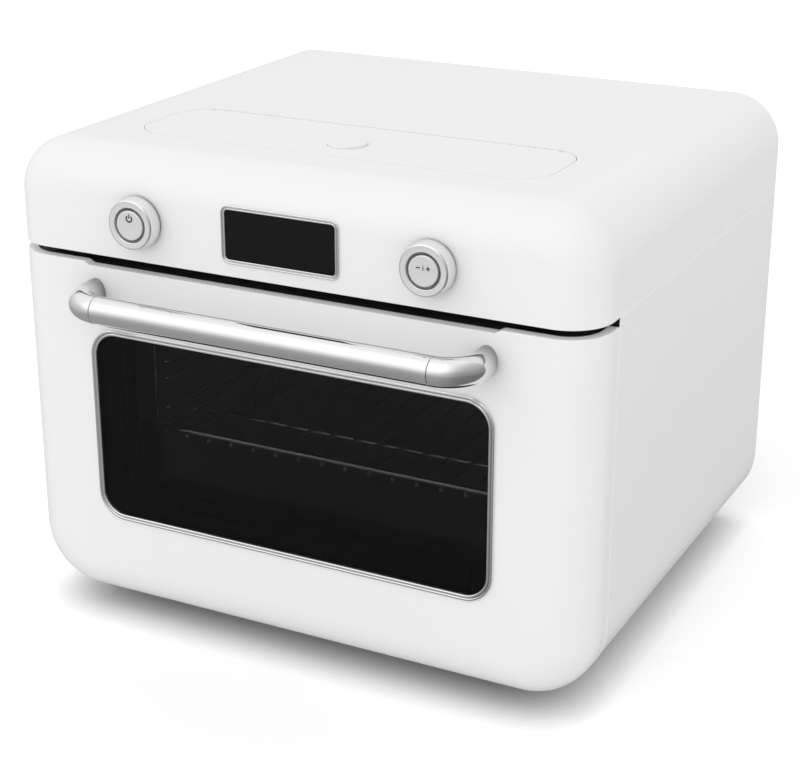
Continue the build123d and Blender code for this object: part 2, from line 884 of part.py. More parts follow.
def side_rack(side):
    """Two uprights with pairs of rungs: each pair is a slot for a shelf or a tray."""
    y0 = cavity_y + rack_front
    y1 = y0 + rack_length
    x0, x1 = rack_x, rung_x
    rack = None
    for y in (y0, y1):
        upright = rod_z(rack_wire_r, base_z + rack_low, base_z + rack_high, x0, y)
        for z in (rack_low + 8, rack_high - 8):
            upright += rod_x(rack_wire_r, x0, cavity_half, y, base_z + z)
        rack = upright if rack is None else rack + upright
    for n in range(slot_count):
        for z in (slot_low + n * slot_pitch, slot_low + slot_gap + n * slot_pitch):
            points = [(x0, y0, base_z + z), (x1, y0, base_z + z), (x1, y1, base_z + z), (x0, y1, base_z + z)]
            path = FilletPolyline(*points, radius=5)
            section = Plane(origin=points[0], z_dir=(-1, 0, 0)) * Circle(rung_r)
            rack += sweep(section, path=path)
    return rack if side > 0 else mirrored(rack)


def wire_shelf():
    """The wire shelf in the lowest slot: cross wires, long wires and a stout rail front and back."""
    cross_z = base_z + slot_low + rung_r + shelf_wire_r + 0.5
    wire_z = cross_z + 2 * shelf_wire_r - 0.4
    rail_z = wire_z + shelf_wire_r + shelf_rail_r - 0.4
    y0 = cavity_y + shelf_from_front
    y1 = y0 + shelf_length
    half = shelf_half
    shelf = rod_x(shelf_rail_r, -half, half, y0, rail_z)
    for y in (y0 + 60, y1 - 70):
        shelf += rod_x(shelf_wire_r + 0.5, -half, half, y, cross_z)
    shelf += rod_x(shelf_wire_r + 0.5, -half, half, y1 - 6, cross_z)
    count = int(half / shelf_wire_pitch)
    for n in range(-count, count + 1):
        shelf += rod_y(shelf_wire_r, y0 - 3, y1, n * shelf_wire_pitch, wire_z)
    return shelf


# Controls


def knob(side):
    """A dial ring that turns round the fixed sleeve: a slight taper and a rounded rim."""
    face = front_y - knob_off - knob_height
    x, z = side * knob_x, base_z + knob_z
    outline = Polyline(
        (knob_bore_r, 0), (knob_base_r, 0), (knob_base_r, knob_foot), (knob_face_r, knob_height),
        (knob_bore_r, knob_height), close=True,
    )
    profile = make_face(outline)
    rim = profile.vertices().sort_by(Axis.X)[-3:].sort_by(Axis.Y)[-1]
    profile = fillet([rim], knob_rim_r)
    ring = revolve(Plane.XZ * profile, Axis.Z)
    return Pos(x, face + knob_height, z) * (Rot(90, 0, 0) * ring)


def knob_sleeve(side):
    """The fixed dark sleeve that shows as a groove between dial and cap, on its encoder."""
    face = front_y - knob_off - knob_height + sleeve_recess
    x, z = side * knob_x, base_z + knob_z
    half = encoder_size / 2
    housing = block(x - half, x + half, panel_back_y, panel_back_y + encoder_depth, z - half, z + half)
    sleeve = rod_y(sleeve_r, face, panel_back_y + 1, x, z)
    return housing + sleeve - rod_y(sleeve_bore_r, face - 1, panel_back_y + 6, x, z)


def knob_cap(side):
    """The push cap in the middle of the dial, on its stem."""
    face = front_y - knob_off - knob_height
    x, z = side * knob_x, base_z + knob_z
    cap = rod_y(cap_r, face, face + 7, x, z)
    cap = fillet(cap.edges().group_by(Axis.Y)[0], 0.6)
    return cap + rod_y(4, face + 6, panel_back_y + 6 - cap_travel - fit, x, z)


def display_trim_ring():
    """The chrome ring of the display, with a skirt through the panel."""
    bead = display_trim / 2
    ring = slab_y(display_outline(0), front_y - display_proud, front_y + 1)
    ring = fillet(ring.edges().group_by(Axis.Y)[0], 0.7)
    ring -= block(-far, far, front_y, front_y + 2, 0, far)
    ring += slab_y(display_outline(-bead - 0.2), front_y - 0.5, panel_back_y)
    return ring - slab_y(display_outline(-display_trim), front_y - 5, panel_back_y + 1)


def display_glass():
    face = front_y - display_proud + 0.7
    return slab_y(display_outline(-display_trim - 0.15), face, face + display_glass_thick)


def display_module():
    """The display and its frame behind the glass, up to the board."""
    face = front_y - display_proud + 0.7 + display_glass_thick
    return slab_y(display_outline(-display_trim - 0.6), face, panel_back_y + encoder_depth)


def control_board():
    """The board behind the panel, with its parts: connectors, chip and coil.

    Each of board_parts is its place across and up the board, and its width, height and depth.
    """
    y = panel_back_y + encoder_depth
    board = block(-board_half, board_half, y, y + board_thick, base_z + board_low, base_z + board_high)
    back = y + board_thick
    low = base_z + board_low
    for x, up, wide, tall, deep in board_parts:
        z = low + up
        board += block(x - wide / 2, x + wide / 2, back - 0.5, back + deep, z - tall / 2, z + tall / 2)
    return board


def door_switch():
    """The plunger switch on the front frame that knows when the door is shut."""
    x, z = cavity_half + 30, base_z + door_height - 34
    body = block(x - 6, x + 6, cavity_y, cavity_y + 22, z - 10, z + 10)
    return body


# Water tank


def tank_lid():
    """The flush lid, with a back edge rolled about its pins and a pocket for the button.

    The roll is hollow over the tank's ears, and open below and behind them, so that the lid
    turns round them with its top face unbroken. It ends where the lid's rounded corners begin
    to come in front of it, and there the top is notched, or it would turn into the opening's edge.
    """
    lid = slab_z(lid_outline(0) & (Pos(0, lid_gap - lid_back_gap) * lid_outline(0)), lid_bottom, top_z)
    roll = block(-far, far, pivot_y, pivot_y + 10, lid_bottom - 5, top_z + 5)
    lid -= roll - rod_x(lid_pivot_r, -far, far, pivot_y, pivot_z)
    past_corner = (2 * lid_corner_r * lid_back_gap - lid_back_gap**2) ** 0.5
    roll_end = lid_half - lid_corner_r + past_corner - lid_notch
    step = pivot_z - lid_notch_drop
    for low, high in ((-far, -roll_end), (roll_end, far)):
        lid -= block(low, high, pivot_y, far, lid_bottom - 1, top_z + 1)
        lid -= block(low, high, pivot_y - lid_pivot_r - lid_notch, far, step, top_z + 1)
    rim = slab_z(lid_outline(-lid_rim_inset), lid_bottom - lid_rim_drop, lid_bottom)
    lid += rim - slab_z(lid_outline(-lid_rim_inset - 1.5), lid_bottom - lid_rim_drop - 1, lid_bottom)
    y = front_y + button_back
    lid += rod_z(button_r + 3, lid_bottom - button_room, lid_bottom, 0, y)
    lid -= rod_z(button_r + 0.4, lid_bottom - button_travel - 0.5, top_z + 1, 0, y)
    lid -= rod_z(button_stem_r + 0.1, lid_bottom - button_room - 1, top_z, 0, y)
    for side in (-1, 1):
        low = side * ear_x - ear_width / 2 - 2 * ear_clear
        high = low + ear_width + 4 * ear_clear
        round_r = ear_r + ear_clear
        lid -= rod_x(round_r, low, high, pivot_y, pivot_z)
        lid -= block(low, high, pivot_y - round_r, far, lid_bottom - 10, pivot_z + 2 * ear_clear)
        lid -= rod_x(tank_pin_r + pin_clear, low - ear_width / 2, high + ear_width / 2, pivot_y, pivot_z)
    return lid


def tank_button():
    """The round push button in the lid."""
    y = front_y + button_back
    cap = rod_z(button_r, lid_bottom, top_z + button_proud, 0, y)
    cap = fillet(cap.edges().group_by(Axis.Z)[-1], 1.0)
    return cap + rod_z(button_stem_r, lid_bottom - button_room - button_travel - 0.5, lid_bottom + 1, 0, y)


def water_tank():
    """The lift-out tank: a deep tub with two ears for the lid's pins and a spout in its floor."""
    outer = lid_outline(lid_gap - tank_clear)
    tank = slab_z(outer, tank_bottom, tank_top)
    tank -= slab_z(lid_outline(lid_gap - tank_clear - tank_wall), tank_bottom + tank_wall, tank_top + 1)
    for side in (-1, 1):
        low = side * ear_x - ear_width / 2
        high = low + ear_width
        ear = block(low, high, pivot_y - ear_r, pivot_y + ear_clear, tank_top - 6, pivot_z)
        ear += rod_x(ear_r, low, high, pivot_y, pivot_z)
        tank += ear - rod_x(tank_pin_r + pin_clear, low - 1, high + 1, pivot_y, pivot_z)
    y = lid_y
    tank += rod_z(spout_r, tank_bottom - spout_drop, tank_bottom + 1, spout_x, y)
    return tank - rod_z(spout_r - 2, tank_bottom - spout_drop - 1, tank_bottom + tank_wall + 1, spout_x, y)


def lid_pins():
    pins = [
        rod_x(tank_pin_r, side * ear_x - 0.95 * ear_width, side * ear_x + 0.95 * ear_width, pivot_y, pivot_z)
        for side in (-1, 1)
    ]
    return Compound(pins)


def tank_well():
    """The tub that hangs from the upper shell and guides the tank."""
    under = top_z - shell_wall
    well = slab_z(lid_outline(lid_gap + well_wall), well_z, under)
    well += slab_z(lid_outline(lid_gap + well_lip), under - 1.5, under)
    well -= slab_z(lid_outline(lid_gap), well_z + well_wall, under + 1)
    return well - rod_z(spout_r + 2, well_z - 1, well_z + well_wall + 1, spout_x, lid_y)


def tank_socket():
    """The valve socket under the well that the tank's spout seats in."""
    socket = rod_z(spout_r + 5, deck_top, well_z, spout_x, lid_y)
    return socket - rod_z(spout_r + fit, deck_top + 2, well_z + 1, spout_x, lid_y)


# Deck and steam system


def equipment_deck():
    """The steel deck over the cavity, from the front frame to the back panel."""
    end = back_y - back_recess - back_rim - 1
    half = half_width - casing_wall - fit
    deck = block(-half, half, cavity_y, end, deck_z, deck_top)
    deck += block(-half, half, cavity_y, cavity_y + deck_thick, deck_z - deck_lip, deck_z)
    deck += block(-half, half, end - deck_thick, end, deck_z - deck_lip, deck_top)
    deck &= slab_y(body_section(casing_wall + fit), cavity_y - 1, end + 1)
    x, y = nozzle_place()
    return deck - rod_z(tube_r + 2, deck_z - 5, deck_top + 5, x, y)


def nozzle_place():
    return (nozzle_from_wall - cavity_half, boiler_place()[1] - boiler_depth / 2 - nozzle_ahead)


def boiler_place():
    return (boiler_from_wall - cavity_half, front_y + lid_back + boiler_behind_tank)


def steam_boiler():
    """The cast steam generator with its ribs and end cap."""
    x, y = boiler_place()
    body = slab_z(rounded(boiler_length, boiler_depth, 14, x, y), deck_top, deck_top + boiler_tall)
    body = fillet(body.edges().group_by(Axis.Z)[-1], 4)
    for n in range(5):
        rib_x = x + (n - 2) * boiler_rib_pitch
        ribs_z = deck_top + boiler_tall
        body += block(rib_x - 1.5, rib_x + 1.5, y - 26, y + 26, ribs_z - 1, ribs_z + boiler_rib_tall)
    return body


def steam_pipe():
    """The pipe from the generator, through the deck, to the nozzle in the cavity's roof."""
    x, y = nozzle_place()
    bx, by = boiler_place()
    z = deck_top + boiler_tall / 2
    points = [(x, y, roof_z - 8), (x, y, z), (x, by - boiler_depth / 2, z)]
    path = FilletPolyline(*points, radius=12)
    section = Plane(origin=points[0], z_dir=(0, 0, 1)) * Circle(tube_r)
    return sweep(section, path=path)


def pump_place():
    return (cavity_half - pump_from_wall, front_y + lid_back + pump_behind_tank)


def water_pump():
    """The small pump lying on a rubber saddle."""
    x, y = pump_place()
    z = deck_top + pump_r + 3
    pump = rod_x(pump_r, x - pump_length / 2, x + pump_length / 2, y, z)
    pump += rod_x(5, x - pump_length / 2 - 12, x - pump_length / 2, y, z)
    return pump + block(x - 18, x + 18, y - 12, y + 12, deck_top, z - pump_r + 5)


def feed_hose():
    """The hose from the pump to the steam generator."""
    x, y = pump_place()
    bx, by = boiler_place()
    z = deck_top + pump_r + 3
    start = x - pump_length / 2 - 12
    end = bx + boiler_length / 2
    points = [(start, y, z), (start - 40, y, z), (end + 36, by, z), (end, by, z)]
    path = FilletPolyline(*points, radius=10)
    section = Plane(origin=points[0], z_dir=(-1, 0, 0)) * Circle(tube_r)
    return sweep(section, path=path)


def power_board():
    """The mains board on posts at the right, with its transformer and relays."""
    x, y = half_width - power_board_from_side, front_y + lid_back + power_board_behind_tank
    z = deck_top + 8
    board = block(x - 38, x + 38, y - 60, y + 60, z, z + 1.6)
    for px in (-32, 32):
        for py in (-54, 54):
            board += rod_z(3, deck_top, z + 0.5, x + px, y + py)
    board += block(x - 24, x + 8, y - 40, y - 4, z + 1, z + 30)
    for n in range(3):
        board += block(x + 12, x + 30, y - 44 + n * 26, y - 24 + n * 26, z + 1, z + 16)
    return board


def parts():
    """Every piece under its node's name."""
    pieces = {
        "top_shell": top_shell(),
        "lower_casing": lower_casing(),
        "base_plate": base_plate(),
        "feet": feet(),
        "back_panel": back_panel(),
        "back_screws": back_screws(),
        "cord_gland": cord_gland(),
        "front_frame": front_frame(),
        "hinge_arms": both(hinge_arm),
        "hinge_screws": hinge_screws(),
        "hinge_pins": both(hinge_pin),
        "door_brackets": both(door_bracket),
        "door_shell": door_shell(),
        "door_glass": door_glass(),
        "window_trim": window_trim(),
        "door_inner_sheet": door_inner_sheet(),
        "door_inner_glass": door_inner_glass(),
        "glass_clips": glass_clips(),
        "handle_bar": handle_bar(),
        "handle_elbows": both(handle_elbow),
        "handle_screws": handle_screws(),
        "cavity": cavity(),
        "cavity_gasket": cavity_gasket(),
        "insulation": insulation(),
        "fan_cover": fan_cover(),
        "fan_wheel": fan_wheel(),
        "fan_shaft": fan_shaft(),
        "fan_motor": fan_motor(),
        "ring_heater": ring_heater(),
        "grill_element": grill_element(),
        "grill_hangers": grill_hangers(),
        "lamp_lens": lamp_lens(),
        "lamp_holder": lamp_holder(),
        "wire_shelf": wire_shelf(),
        "display_trim": display_trim_ring(),
        "display_glass": display_glass(),
        "display_module": display_module(),
        "control_board": control_board(),
        "door_switch": door_switch(),
        "tank_lid": tank_lid(),
        "tank_button": tank_button(),
        "water_tank": water_tank(),
        "lid_pins": lid_pins(),
        "tank_well": tank_well(),
        "tank_socket": tank_socket(),
        "equipment_deck": equipment_deck(),
        "steam_boiler": steam_boiler(),
        "steam_pipe": steam_pipe(),
        "water_pump": water_pump(),
        "feed_hose": feed_hose(),
        "power_board": power_board(),
    }
    for name, side in (("left", -1), ("right", 1)):
        pieces[f"{name}_side_rack"] = side_rack(side)
        pieces[f"{name}_knob"] = knob(side)
        pieces[f"{name}_knob_sleeve"] = knob_sleeve(side)
        pieces[f"{name}_knob_cap"] = knob_cap(side)
    return pieces


os.makedirs("parts", exist_ok=True)
for node, solid in parts().items():
    export_step(solid, f"parts/{node}.step")
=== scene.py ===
"""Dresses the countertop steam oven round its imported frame: finishes, finer forms, stage and camera."""

import json
import math

import bmesh
import bpy
import numpy as np
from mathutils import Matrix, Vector


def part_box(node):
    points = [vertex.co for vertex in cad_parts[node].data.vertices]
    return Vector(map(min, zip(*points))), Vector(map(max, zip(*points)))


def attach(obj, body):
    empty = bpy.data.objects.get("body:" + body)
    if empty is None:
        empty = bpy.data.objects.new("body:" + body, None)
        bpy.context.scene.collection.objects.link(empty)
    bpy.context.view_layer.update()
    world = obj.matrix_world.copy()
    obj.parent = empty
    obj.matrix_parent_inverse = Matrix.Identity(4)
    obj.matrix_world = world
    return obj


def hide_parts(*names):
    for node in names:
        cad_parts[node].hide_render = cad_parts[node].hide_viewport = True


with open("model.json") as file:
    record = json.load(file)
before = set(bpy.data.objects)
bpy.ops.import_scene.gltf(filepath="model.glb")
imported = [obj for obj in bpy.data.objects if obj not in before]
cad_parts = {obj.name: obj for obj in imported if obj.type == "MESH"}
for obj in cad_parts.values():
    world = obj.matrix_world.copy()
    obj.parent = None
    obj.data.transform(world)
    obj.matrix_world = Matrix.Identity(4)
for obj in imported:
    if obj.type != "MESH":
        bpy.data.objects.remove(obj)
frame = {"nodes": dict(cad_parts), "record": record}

bl_info = {
    "name": "Countertop Steam Oven",
    "version": (1, 0, 0),
    "blender": (4, 5, 0),
    "location": "View3D > Sidebar > Steam Oven",
    "description": "Finishes and visible forms of a white countertop steam oven",
    "category": "Object",
}

MM = 0.001
MERGE_DISTANCE = 1e-6
SMOOTH_ANGLE = math.radians(38)
SLOT_OF = {row["node"]: row["material_slot"] for row in frame["record"]["subparts"]}
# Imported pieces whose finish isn't their slot's.
OWN_FINISH = {
    "glass_clips": "black_paint",
    "left_knob_sleeve": "sleeve_grey",
    "right_knob_sleeve": "sleeve_grey",
}


# Node helpers


def math_node(tree, operation, first, second):
    """A Math node of two sockets or numbers."""
    made = tree.nodes.new("ShaderNodeMath")
    made.operation = operation
    for value, socket in zip((first, second), made.inputs):
        if isinstance(value, bpy.types.NodeSocket):
            tree.links.new(value, socket)
        else:
            socket.default_value = value
    return made.outputs[0]


def vector_node(tree, operation, vector, second=None):
    """A Vector Math node of a linked vector and, where the operation has one, a fixed second vector."""
    made = tree.nodes.new("ShaderNodeVectorMath")
    made.operation = operation
    tree.links.new(vector, made.inputs[0])
    if second is not None:
        made.inputs[1].default_value = second
    return made


def apart(tree, vector):
    """The three numbers of a linked vector."""
    made = tree.nodes.new("ShaderNodeSeparateXYZ")
    tree.links.new(vector, made.inputs[0])
    return made.outputs


def fade(tree, value, low, high, start, end=1.0):
    """A smooth step from start, where value is low, to end, where it is high."""
    made = tree.nodes.new("ShaderNodeMapRange")
    made.interpolation_type = "SMOOTHSTEP"
    tree.links.new(value, made.inputs["Value"])
    for socket, number in (("From Min", low), ("From Max", high), ("To Min", start), ("To Max", end)):
        made.inputs[socket].default_value = number
    return made.outputs["Result"]


def noise(tree, place, scale, detail):
    """Noise over a linked place, with scale features to the metre."""
    made = tree.nodes.new("ShaderNodeTexNoise")
    made.inputs["Scale"].default_value = scale
    made.inputs["Detail"].default_value = detail
    tree.links.new(place, made.inputs["Vector"])
    return made.outputs["Fac"]


# Finishes


class OvenFinishSettings(bpy.types.PropertyGroup):
    body_white: bpy.props.FloatVectorProperty(
        name="Body white",
        description="Colour of the housing, the door and the tank's lid",
        default=(0.9, 0.9, 0.895),
        subtype="COLOR",
        min=0,
        max=1,
    )
    chrome: bpy.props.FloatVectorProperty(
        name="Chrome",
        description="Colour of the handle, the trims and the dials' sides",
        default=(0.84, 0.84, 0.85),
        subtype="COLOR",
        min=0,
        max=1,
    )
    satin_metal: bpy.props.FloatVectorProperty(
        name="Satin metal",
        description="Colour of the dials' faces and caps",
        default=(0.93, 0.93, 0.935),
        subtype="COLOR",
        min=0,
        max=1,
    )
    window_tint: bpy.props.FloatVectorProperty(
        name="Window tint",
        description="Colour that the window's outer pane lets through",
        default=(0.3, 0.3, 0.3),
        subtype="COLOR",
        min=0,
        max=1,
    )
    cavity_steel: bpy.props.FloatVectorProperty(
        name="Cavity steel",
        description="Colour of the steel inside the oven",
        default=(0.42, 0.42, 0.42),
        subtype="COLOR",
        min=0,
        max=1,
    )


# Each finish is what the function finish is given for it. A colour is its three numbers, or the name of one
# of the settings above. "drift" is how far the colour wanders, "spread" how far the roughness does, "grain"
# the depth of the surface's relief in metres, "fine" how many of its features go to the metre, and "stretch"
# the scale of every pattern along the three axes.
BODY = dict(
    colour="body_white", roughness=0.3, drift=0.006, spread=0.05, sockets={"Specular IOR Level": 0.25}
)
CHROME = dict(colour="chrome", metallic=1.0, roughness=0.03, drift=0.01, spread=0.015, grain=1e-6, fine=300)
PANE = dict(drift=0.01, spread=0.02)
# Painted shade and painted dark reflections: the elbows' feet and the dials' sides have their chrome colour
# darkened towards the white front beside them, from the first place along Y to the second, down to the third
# number's share.
ELBOW_SHADE = (-214 * MM, -190 * MM, 0.42)
DIAL_SHADE = (-193.5 * MM, -190.4 * MM, 0.4)
FINISHES = {
    "white_plastic": dict(BODY, grain=1.2e-5, fine=700),
    "white_paint": dict(BODY, grain=1.5e-5, fine=620),
    # Painted highlight: the rolled seam edges are a whiter white than the body, so they read as pale
    # highlight lines.
    "white_edge": dict(
        colour=(0.985, 0.985, 0.98), roughness=0.3, drift=0.004, spread=0.04, grain=5e-6, fine=700
    ),
    "black_paint": dict(
        colour=(0.012, 0.012, 0.013), roughness=0.5, drift=0.15, spread=0.1, grain=2e-5, fine=900
    ),
    "chrome": CHROME,
    "elbow_chrome": dict(CHROME, painted_shade_back=ELBOW_SHADE),
    "dial_chrome": dict(CHROME, painted_shade_back=DIAL_SHADE),
    "satin_metal": dict(
        colour="satin_metal", metallic=0.6, roughness=0.36, drift=0.01, spread=0.08, grain=6e-6, fine=1500
    ),
    "dark_glass": dict(
        PANE,
        colour="window_tint",
        roughness=0.02,
        sockets={"Transmission Weight": 1.0, "IOR": 1.25, "Specular IOR Level": 0.06},
    ),
    "clear_glass": dict(
        PANE,
        colour=(0.86, 0.88, 0.87),
        roughness=0.03,
        sockets={"Transmission Weight": 1.0, "IOR": 1.45, "Specular IOR Level": 0.15},
    ),
    "display_black": dict(
        colour=(0.008, 0.008, 0.009), roughness=0.08, drift=0.1, spread=0.04,
        sockets={"Specular IOR Level": 0.12},
    ),
    "stainless": dict(
        colour="cavity_steel", metallic=1.0, roughness=0.38, drift=0.04, spread=0.1, grain=6e-6, fine=900,
        stretch=(1.0, 0.04, 1.0),
    ),
    "zinc_steel": dict(
        colour=(0.55, 0.56, 0.57), metallic=1.0, roughness=0.42, drift=0.08, spread=0.12, grain=8e-6, fine=400
    ),
    "seal_rubber": dict(
        colour=(0.03, 0.03, 0.03), roughness=0.75, drift=0.15, spread=0.08, grain=3e-5, fine=1200
    ),
    "dark_plastic": dict(
        colour=(0.05, 0.05, 0.052), roughness=0.5, drift=0.1, spread=0.08, grain=2e-5, fine=1400
    ),
    "grey_plastic": dict(
        colour=(0.45, 0.46, 0.47), roughness=0.55, drift=0.03, spread=0.08, grain=2e-5, fine=1300
    ),
    "sleeve_grey": dict(
        colour=(0.19, 0.19, 0.195), roughness=0.5, drift=0.05, spread=0.08, grain=2e-5, fine=1400
    ),
    "clear_plastic": dict(
        colour=(0.8, 0.86, 0.88), roughness=0.16, drift=0.01, spread=0.06, grain=1e-5, fine=300,
        sockets={"Transmission Weight": 0.85, "IOR": 1.49},
    ),
    "mineral_wool": dict(
        colour=(0.62, 0.6, 0.5), roughness=0.95, drift=0.14, spread=0.04, grain=6e-4, fine=260
    ),
    "cast_aluminium": dict(
        colour=(0.62, 0.62, 0.63), metallic=1.0, roughness=0.5, drift=0.05, spread=0.12, grain=9e-5, fine=700
    ),
    "board_green": dict(
        colour=(0.05, 0.22, 0.1), roughness=0.45, drift=0.1, spread=0.1, grain=3e-5, fine=900
    ),
    "silicone": dict(colour=(0.75, 0.75, 0.72), roughness=0.5, drift=0.03, spread=0.08, grain=2e-5, fine=900),
}
TINT_SCALE, TINT_DETAIL = 14.0, 4.0
RUB_SCALE, RUB_DETAIL = 45.0, 6.0
GRAIN_DETAIL = 3.0


def finish(
    name, colour, roughness, drift, spread, grain=0.0, fine=0.0, metallic=0.0, stretch=(1, 1, 1),
    sockets=None, painted_shade_back=None,
):
    """A procedural material: colour and roughness wander slowly, and a fine relief breaks up the reflections.

    Given a Y range and a share for painted shade, the colour falls smoothly to the third number's share of
    itself, from the first to the second number along Y; this darkening is painted shade, not the metal's own
    colour.
    """
    material = bpy.data.materials.new(name)
    material.use_nodes = True
    tree = material.node_tree
    nodes, links = tree.nodes, tree.links
    shader = nodes["Principled BSDF"]
    place = nodes.new("ShaderNodeTexCoord").outputs["Object"]
    stretched = nodes.new("ShaderNodeMapping")
    stretched.inputs["Scale"].default_value = stretch
    links.new(place, stretched.inputs["Vector"])
    surface = stretched.outputs["Vector"]
    tint = nodes.new("ShaderNodeMix")
    tint.data_type = "RGBA"
    tint.inputs["A"].default_value = (*(part * (1 - drift) for part in colour), 1)
    tint.inputs["B"].default_value = (*(min(1.0, part * (1 + drift)) for part in colour), 1)
    links.new(noise(tree, surface, TINT_SCALE, TINT_DETAIL), tint.inputs["Factor"])
    base = tint.outputs["Result"]
    # Painted shade: the colour darkens along Y towards the front that the piece stands on.
    if painted_shade_back:
        near, far, share = painted_shade_back
        dimmed = vector_node(tree, "SCALE", base)
        links.new(fade(tree, apart(tree, place)["Y"], near, far, 1.0, share), dimmed.inputs["Scale"])
        base = dimmed.outputs["Vector"]
    links.new(base, shader.inputs["Base Color"])
    rough = nodes.new("ShaderNodeMapRange")
    rough.inputs["To Min"].default_value = max(0.0, roughness - spread)
    rough.inputs["To Max"].default_value = roughness + spread
    links.new(noise(tree, surface, RUB_SCALE, RUB_DETAIL), rough.inputs["Value"])
    links.new(rough.outputs["Result"], shader.inputs["Roughness"])
    shader.inputs["Metallic"].default_value = metallic
    for socket, value in (sockets or {}).items():
        shader.inputs[socket].default_value = value
    if grain:
        bump = nodes.new("ShaderNodeBump")
        bump.inputs["Distance"].default_value = grain
        links.new(noise(tree, surface, fine, GRAIN_DETAIL), bump.inputs["Height"])
        links.new(bump.outputs["Normal"], shader.inputs["Normal"])
    return material


def finish_of(wanted):
    """The material of one finish, made the first time that it is asked for.

    Its name has an ending, because the frame's plain materials are called what the slots are.
    """
    name = wanted + "_finish"
    if name in bpy.data.materials:
        return bpy.data.materials[name]
    recipe = dict(FINISHES[wanted])
    if isinstance(recipe["colour"], str):
        recipe["colour"] = getattr(bpy.context.scene.oven_finishes, recipe["colour"])
    return finish(name, **recipe)


class OVEN_OT_frame_finishes(bpy.types.Operator):
    """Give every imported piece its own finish, or else its material slot's"""

    bl_idname = "oven.frame_finishes"
    bl_label = "Finishes"

    def execute(self, context):
        for node, piece in frame["nodes"].items():
            piece.data.materials.clear()
            piece.data.materials.append(finish_of(OWN_FINISH.get(node, SLOT_OF[node])))
        return {"FINISHED"}


# Surfaces

# A grid is its points, an array of rows by columns by 3, whether its rows and its columns close on
# themselves, and the number of its finish in the piece's list.


def grid_faces(points, rows_close, columns_close, first):
    """The four-sided faces between neighbouring rows and columns of a grid whose points start at first."""
    rows, columns = points.shape[:2]
    row = np.arange(rows if rows_close else rows - 1)[:, None]
    column = np.arange(columns if columns_close else columns - 1)
    next_row, next_column = (row + 1) % rows, (column + 1) % columns
    corners = (row * columns + column, row * columns + next_column, next_row * columns + next_column)
    return first + np.stack([*corners, next_row * columns + column], -1).reshape(-1, 4)


def put_piece(name, grids, finishes, body, *nodes, slot=None):
    """Makes one piece of closed grids: seams and poles merged, faces outwards, riding on its body.

    It replaces the given nodes of the frame. The argument slot, the piece's slot where its first finish isn't
    one, is not used.
    """
    points, faces, numbers, first = [], [], [], 0
    for grid, rows_close, columns_close, number in grids:
        quads = grid_faces(grid, rows_close, columns_close, first)
        points.append(grid.reshape(-1, 3))
        faces.append(quads)
        numbers.append(np.full(len(quads), number))
        first += grid.shape[0] * grid.shape[1]
    mesh = bpy.data.meshes.new(name)
    mesh.from_pydata(np.concatenate(points).tolist(), [], np.concatenate(faces).tolist())
    mesh.polygons.foreach_set("material_index", np.concatenate(numbers).astype(np.int32))
    form = bmesh.new()
    form.from_mesh(mesh)
    bmesh.ops.remove_doubles(form, verts=form.verts, dist=MERGE_DISTANCE)
    bmesh.ops.recalc_face_normals(form, faces=form.faces)
    form.to_mesh(mesh)
    form.free()
    for wanted in finishes:
        mesh.materials.append(finish_of(wanted))
    piece = bpy.data.objects.new(name, mesh)
    bpy.context.scene.collection.objects.link(piece)
    with bpy.context.temp_override(object=piece, active_object=piece, selected_editable_objects=[piece]):
        bpy.ops.object.shade_smooth_by_angle(angle=SMOOTH_ANGLE)
    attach(piece, body)
    if nodes:
        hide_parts(*nodes)


def turned(profile, centre, axis, steps=96):
    """A profile of (radius, distance along) carried once round the axis through centre.

    A point is centre + distance times the axis + radius times (cos a, sin a) across it.
    """
    angle = np.linspace(0, 2 * np.pi, steps, endpoint=False)
    radius, along = np.asarray(profile, float).T[:, :, None]
    across, up = radius * np.cos(angle), radius * np.sin(angle)
    along = along + 0 * across
    order = {"x": (along, across, up), "y": (across, along, up), "z": (across, up, along)}[axis]
    return np.stack(order, -1) + np.asarray(centre, float)


def rounded_corner(corner, before, after, radius, steps):
    """A quarter turn that replaces the corner of a profile between its two neighbours.

    Its centre lies one radius along each side from the corner, and a point is the centre minus radius times
    (ahead cos t + back sin t), with ahead and back the sides' directions.
    """
    corner, before, after = (np.asarray(point, float) for point in (corner, before, after))
    back = (before - corner) / np.linalg.norm(before - corner)
    ahead = (after - corner) / np.linalg.norm(after - corner)
    middle = corner + radius * (back + ahead)
    turn = np.linspace(0, np.pi / 2, steps)[:, None]
    return middle - radius * (ahead * np.cos(turn) + back * np.sin(turn))


def round_path(half_wide, half_tall, corner, steps=16):
    """Points and outward directions once round a rounded rectangle, as four quarter turns.

    An outward direction is (cos a, sin a), and its point is the corner's centre + the radius times it.
    """
    angle = (np.arange(4)[:, None] * np.pi / 2 + np.linspace(0, np.pi / 2, steps + 1)).ravel()
    outward = np.stack([np.cos(angle), np.sin(angle)], -1)
    sides = np.repeat([(1, 1), (-1, 1), (-1, -1), (1, -1)], steps + 1, axis=0)
    return sides * (half_wide - corner, half_tall - corner) + corner * outward, outward


def round_frame(profile, half_wide, half_tall, corner, centre):
    """A profile of (outward, raised) carried round a rounded rectangle that faces the front.

    A point is the path's point + its outward direction times outward, and raised goes against Y.
    """
    path, outward = round_path(half_wide, half_tall, corner)
    out, raised = np.asarray(profile, float).T[:, None, :]
    across, up = (path[:, :, None] + outward[:, :, None] * out[:, None, :]).transpose(1, 0, 2)
    raised = raised + 0 * across
    return np.stack((across, -raised, up), -1) + np.asarray(centre, float)


def bead(width, height, steps=9, power=2.6):
    """The half outline of a full bead, from its outer to its inner foot, as a rounded-square curve.

    A point is half the width times cos a to the 2/power, and the height times sin a to the 2/power.
    """
    angle = np.linspace(0, np.pi, steps)
    across = np.sign(np.cos(angle)) * np.abs(np.cos(angle)) ** (2 / power) * width / 2
    return np.stack([across, np.abs(np.sin(angle)) ** (2 / power) * height], -1)


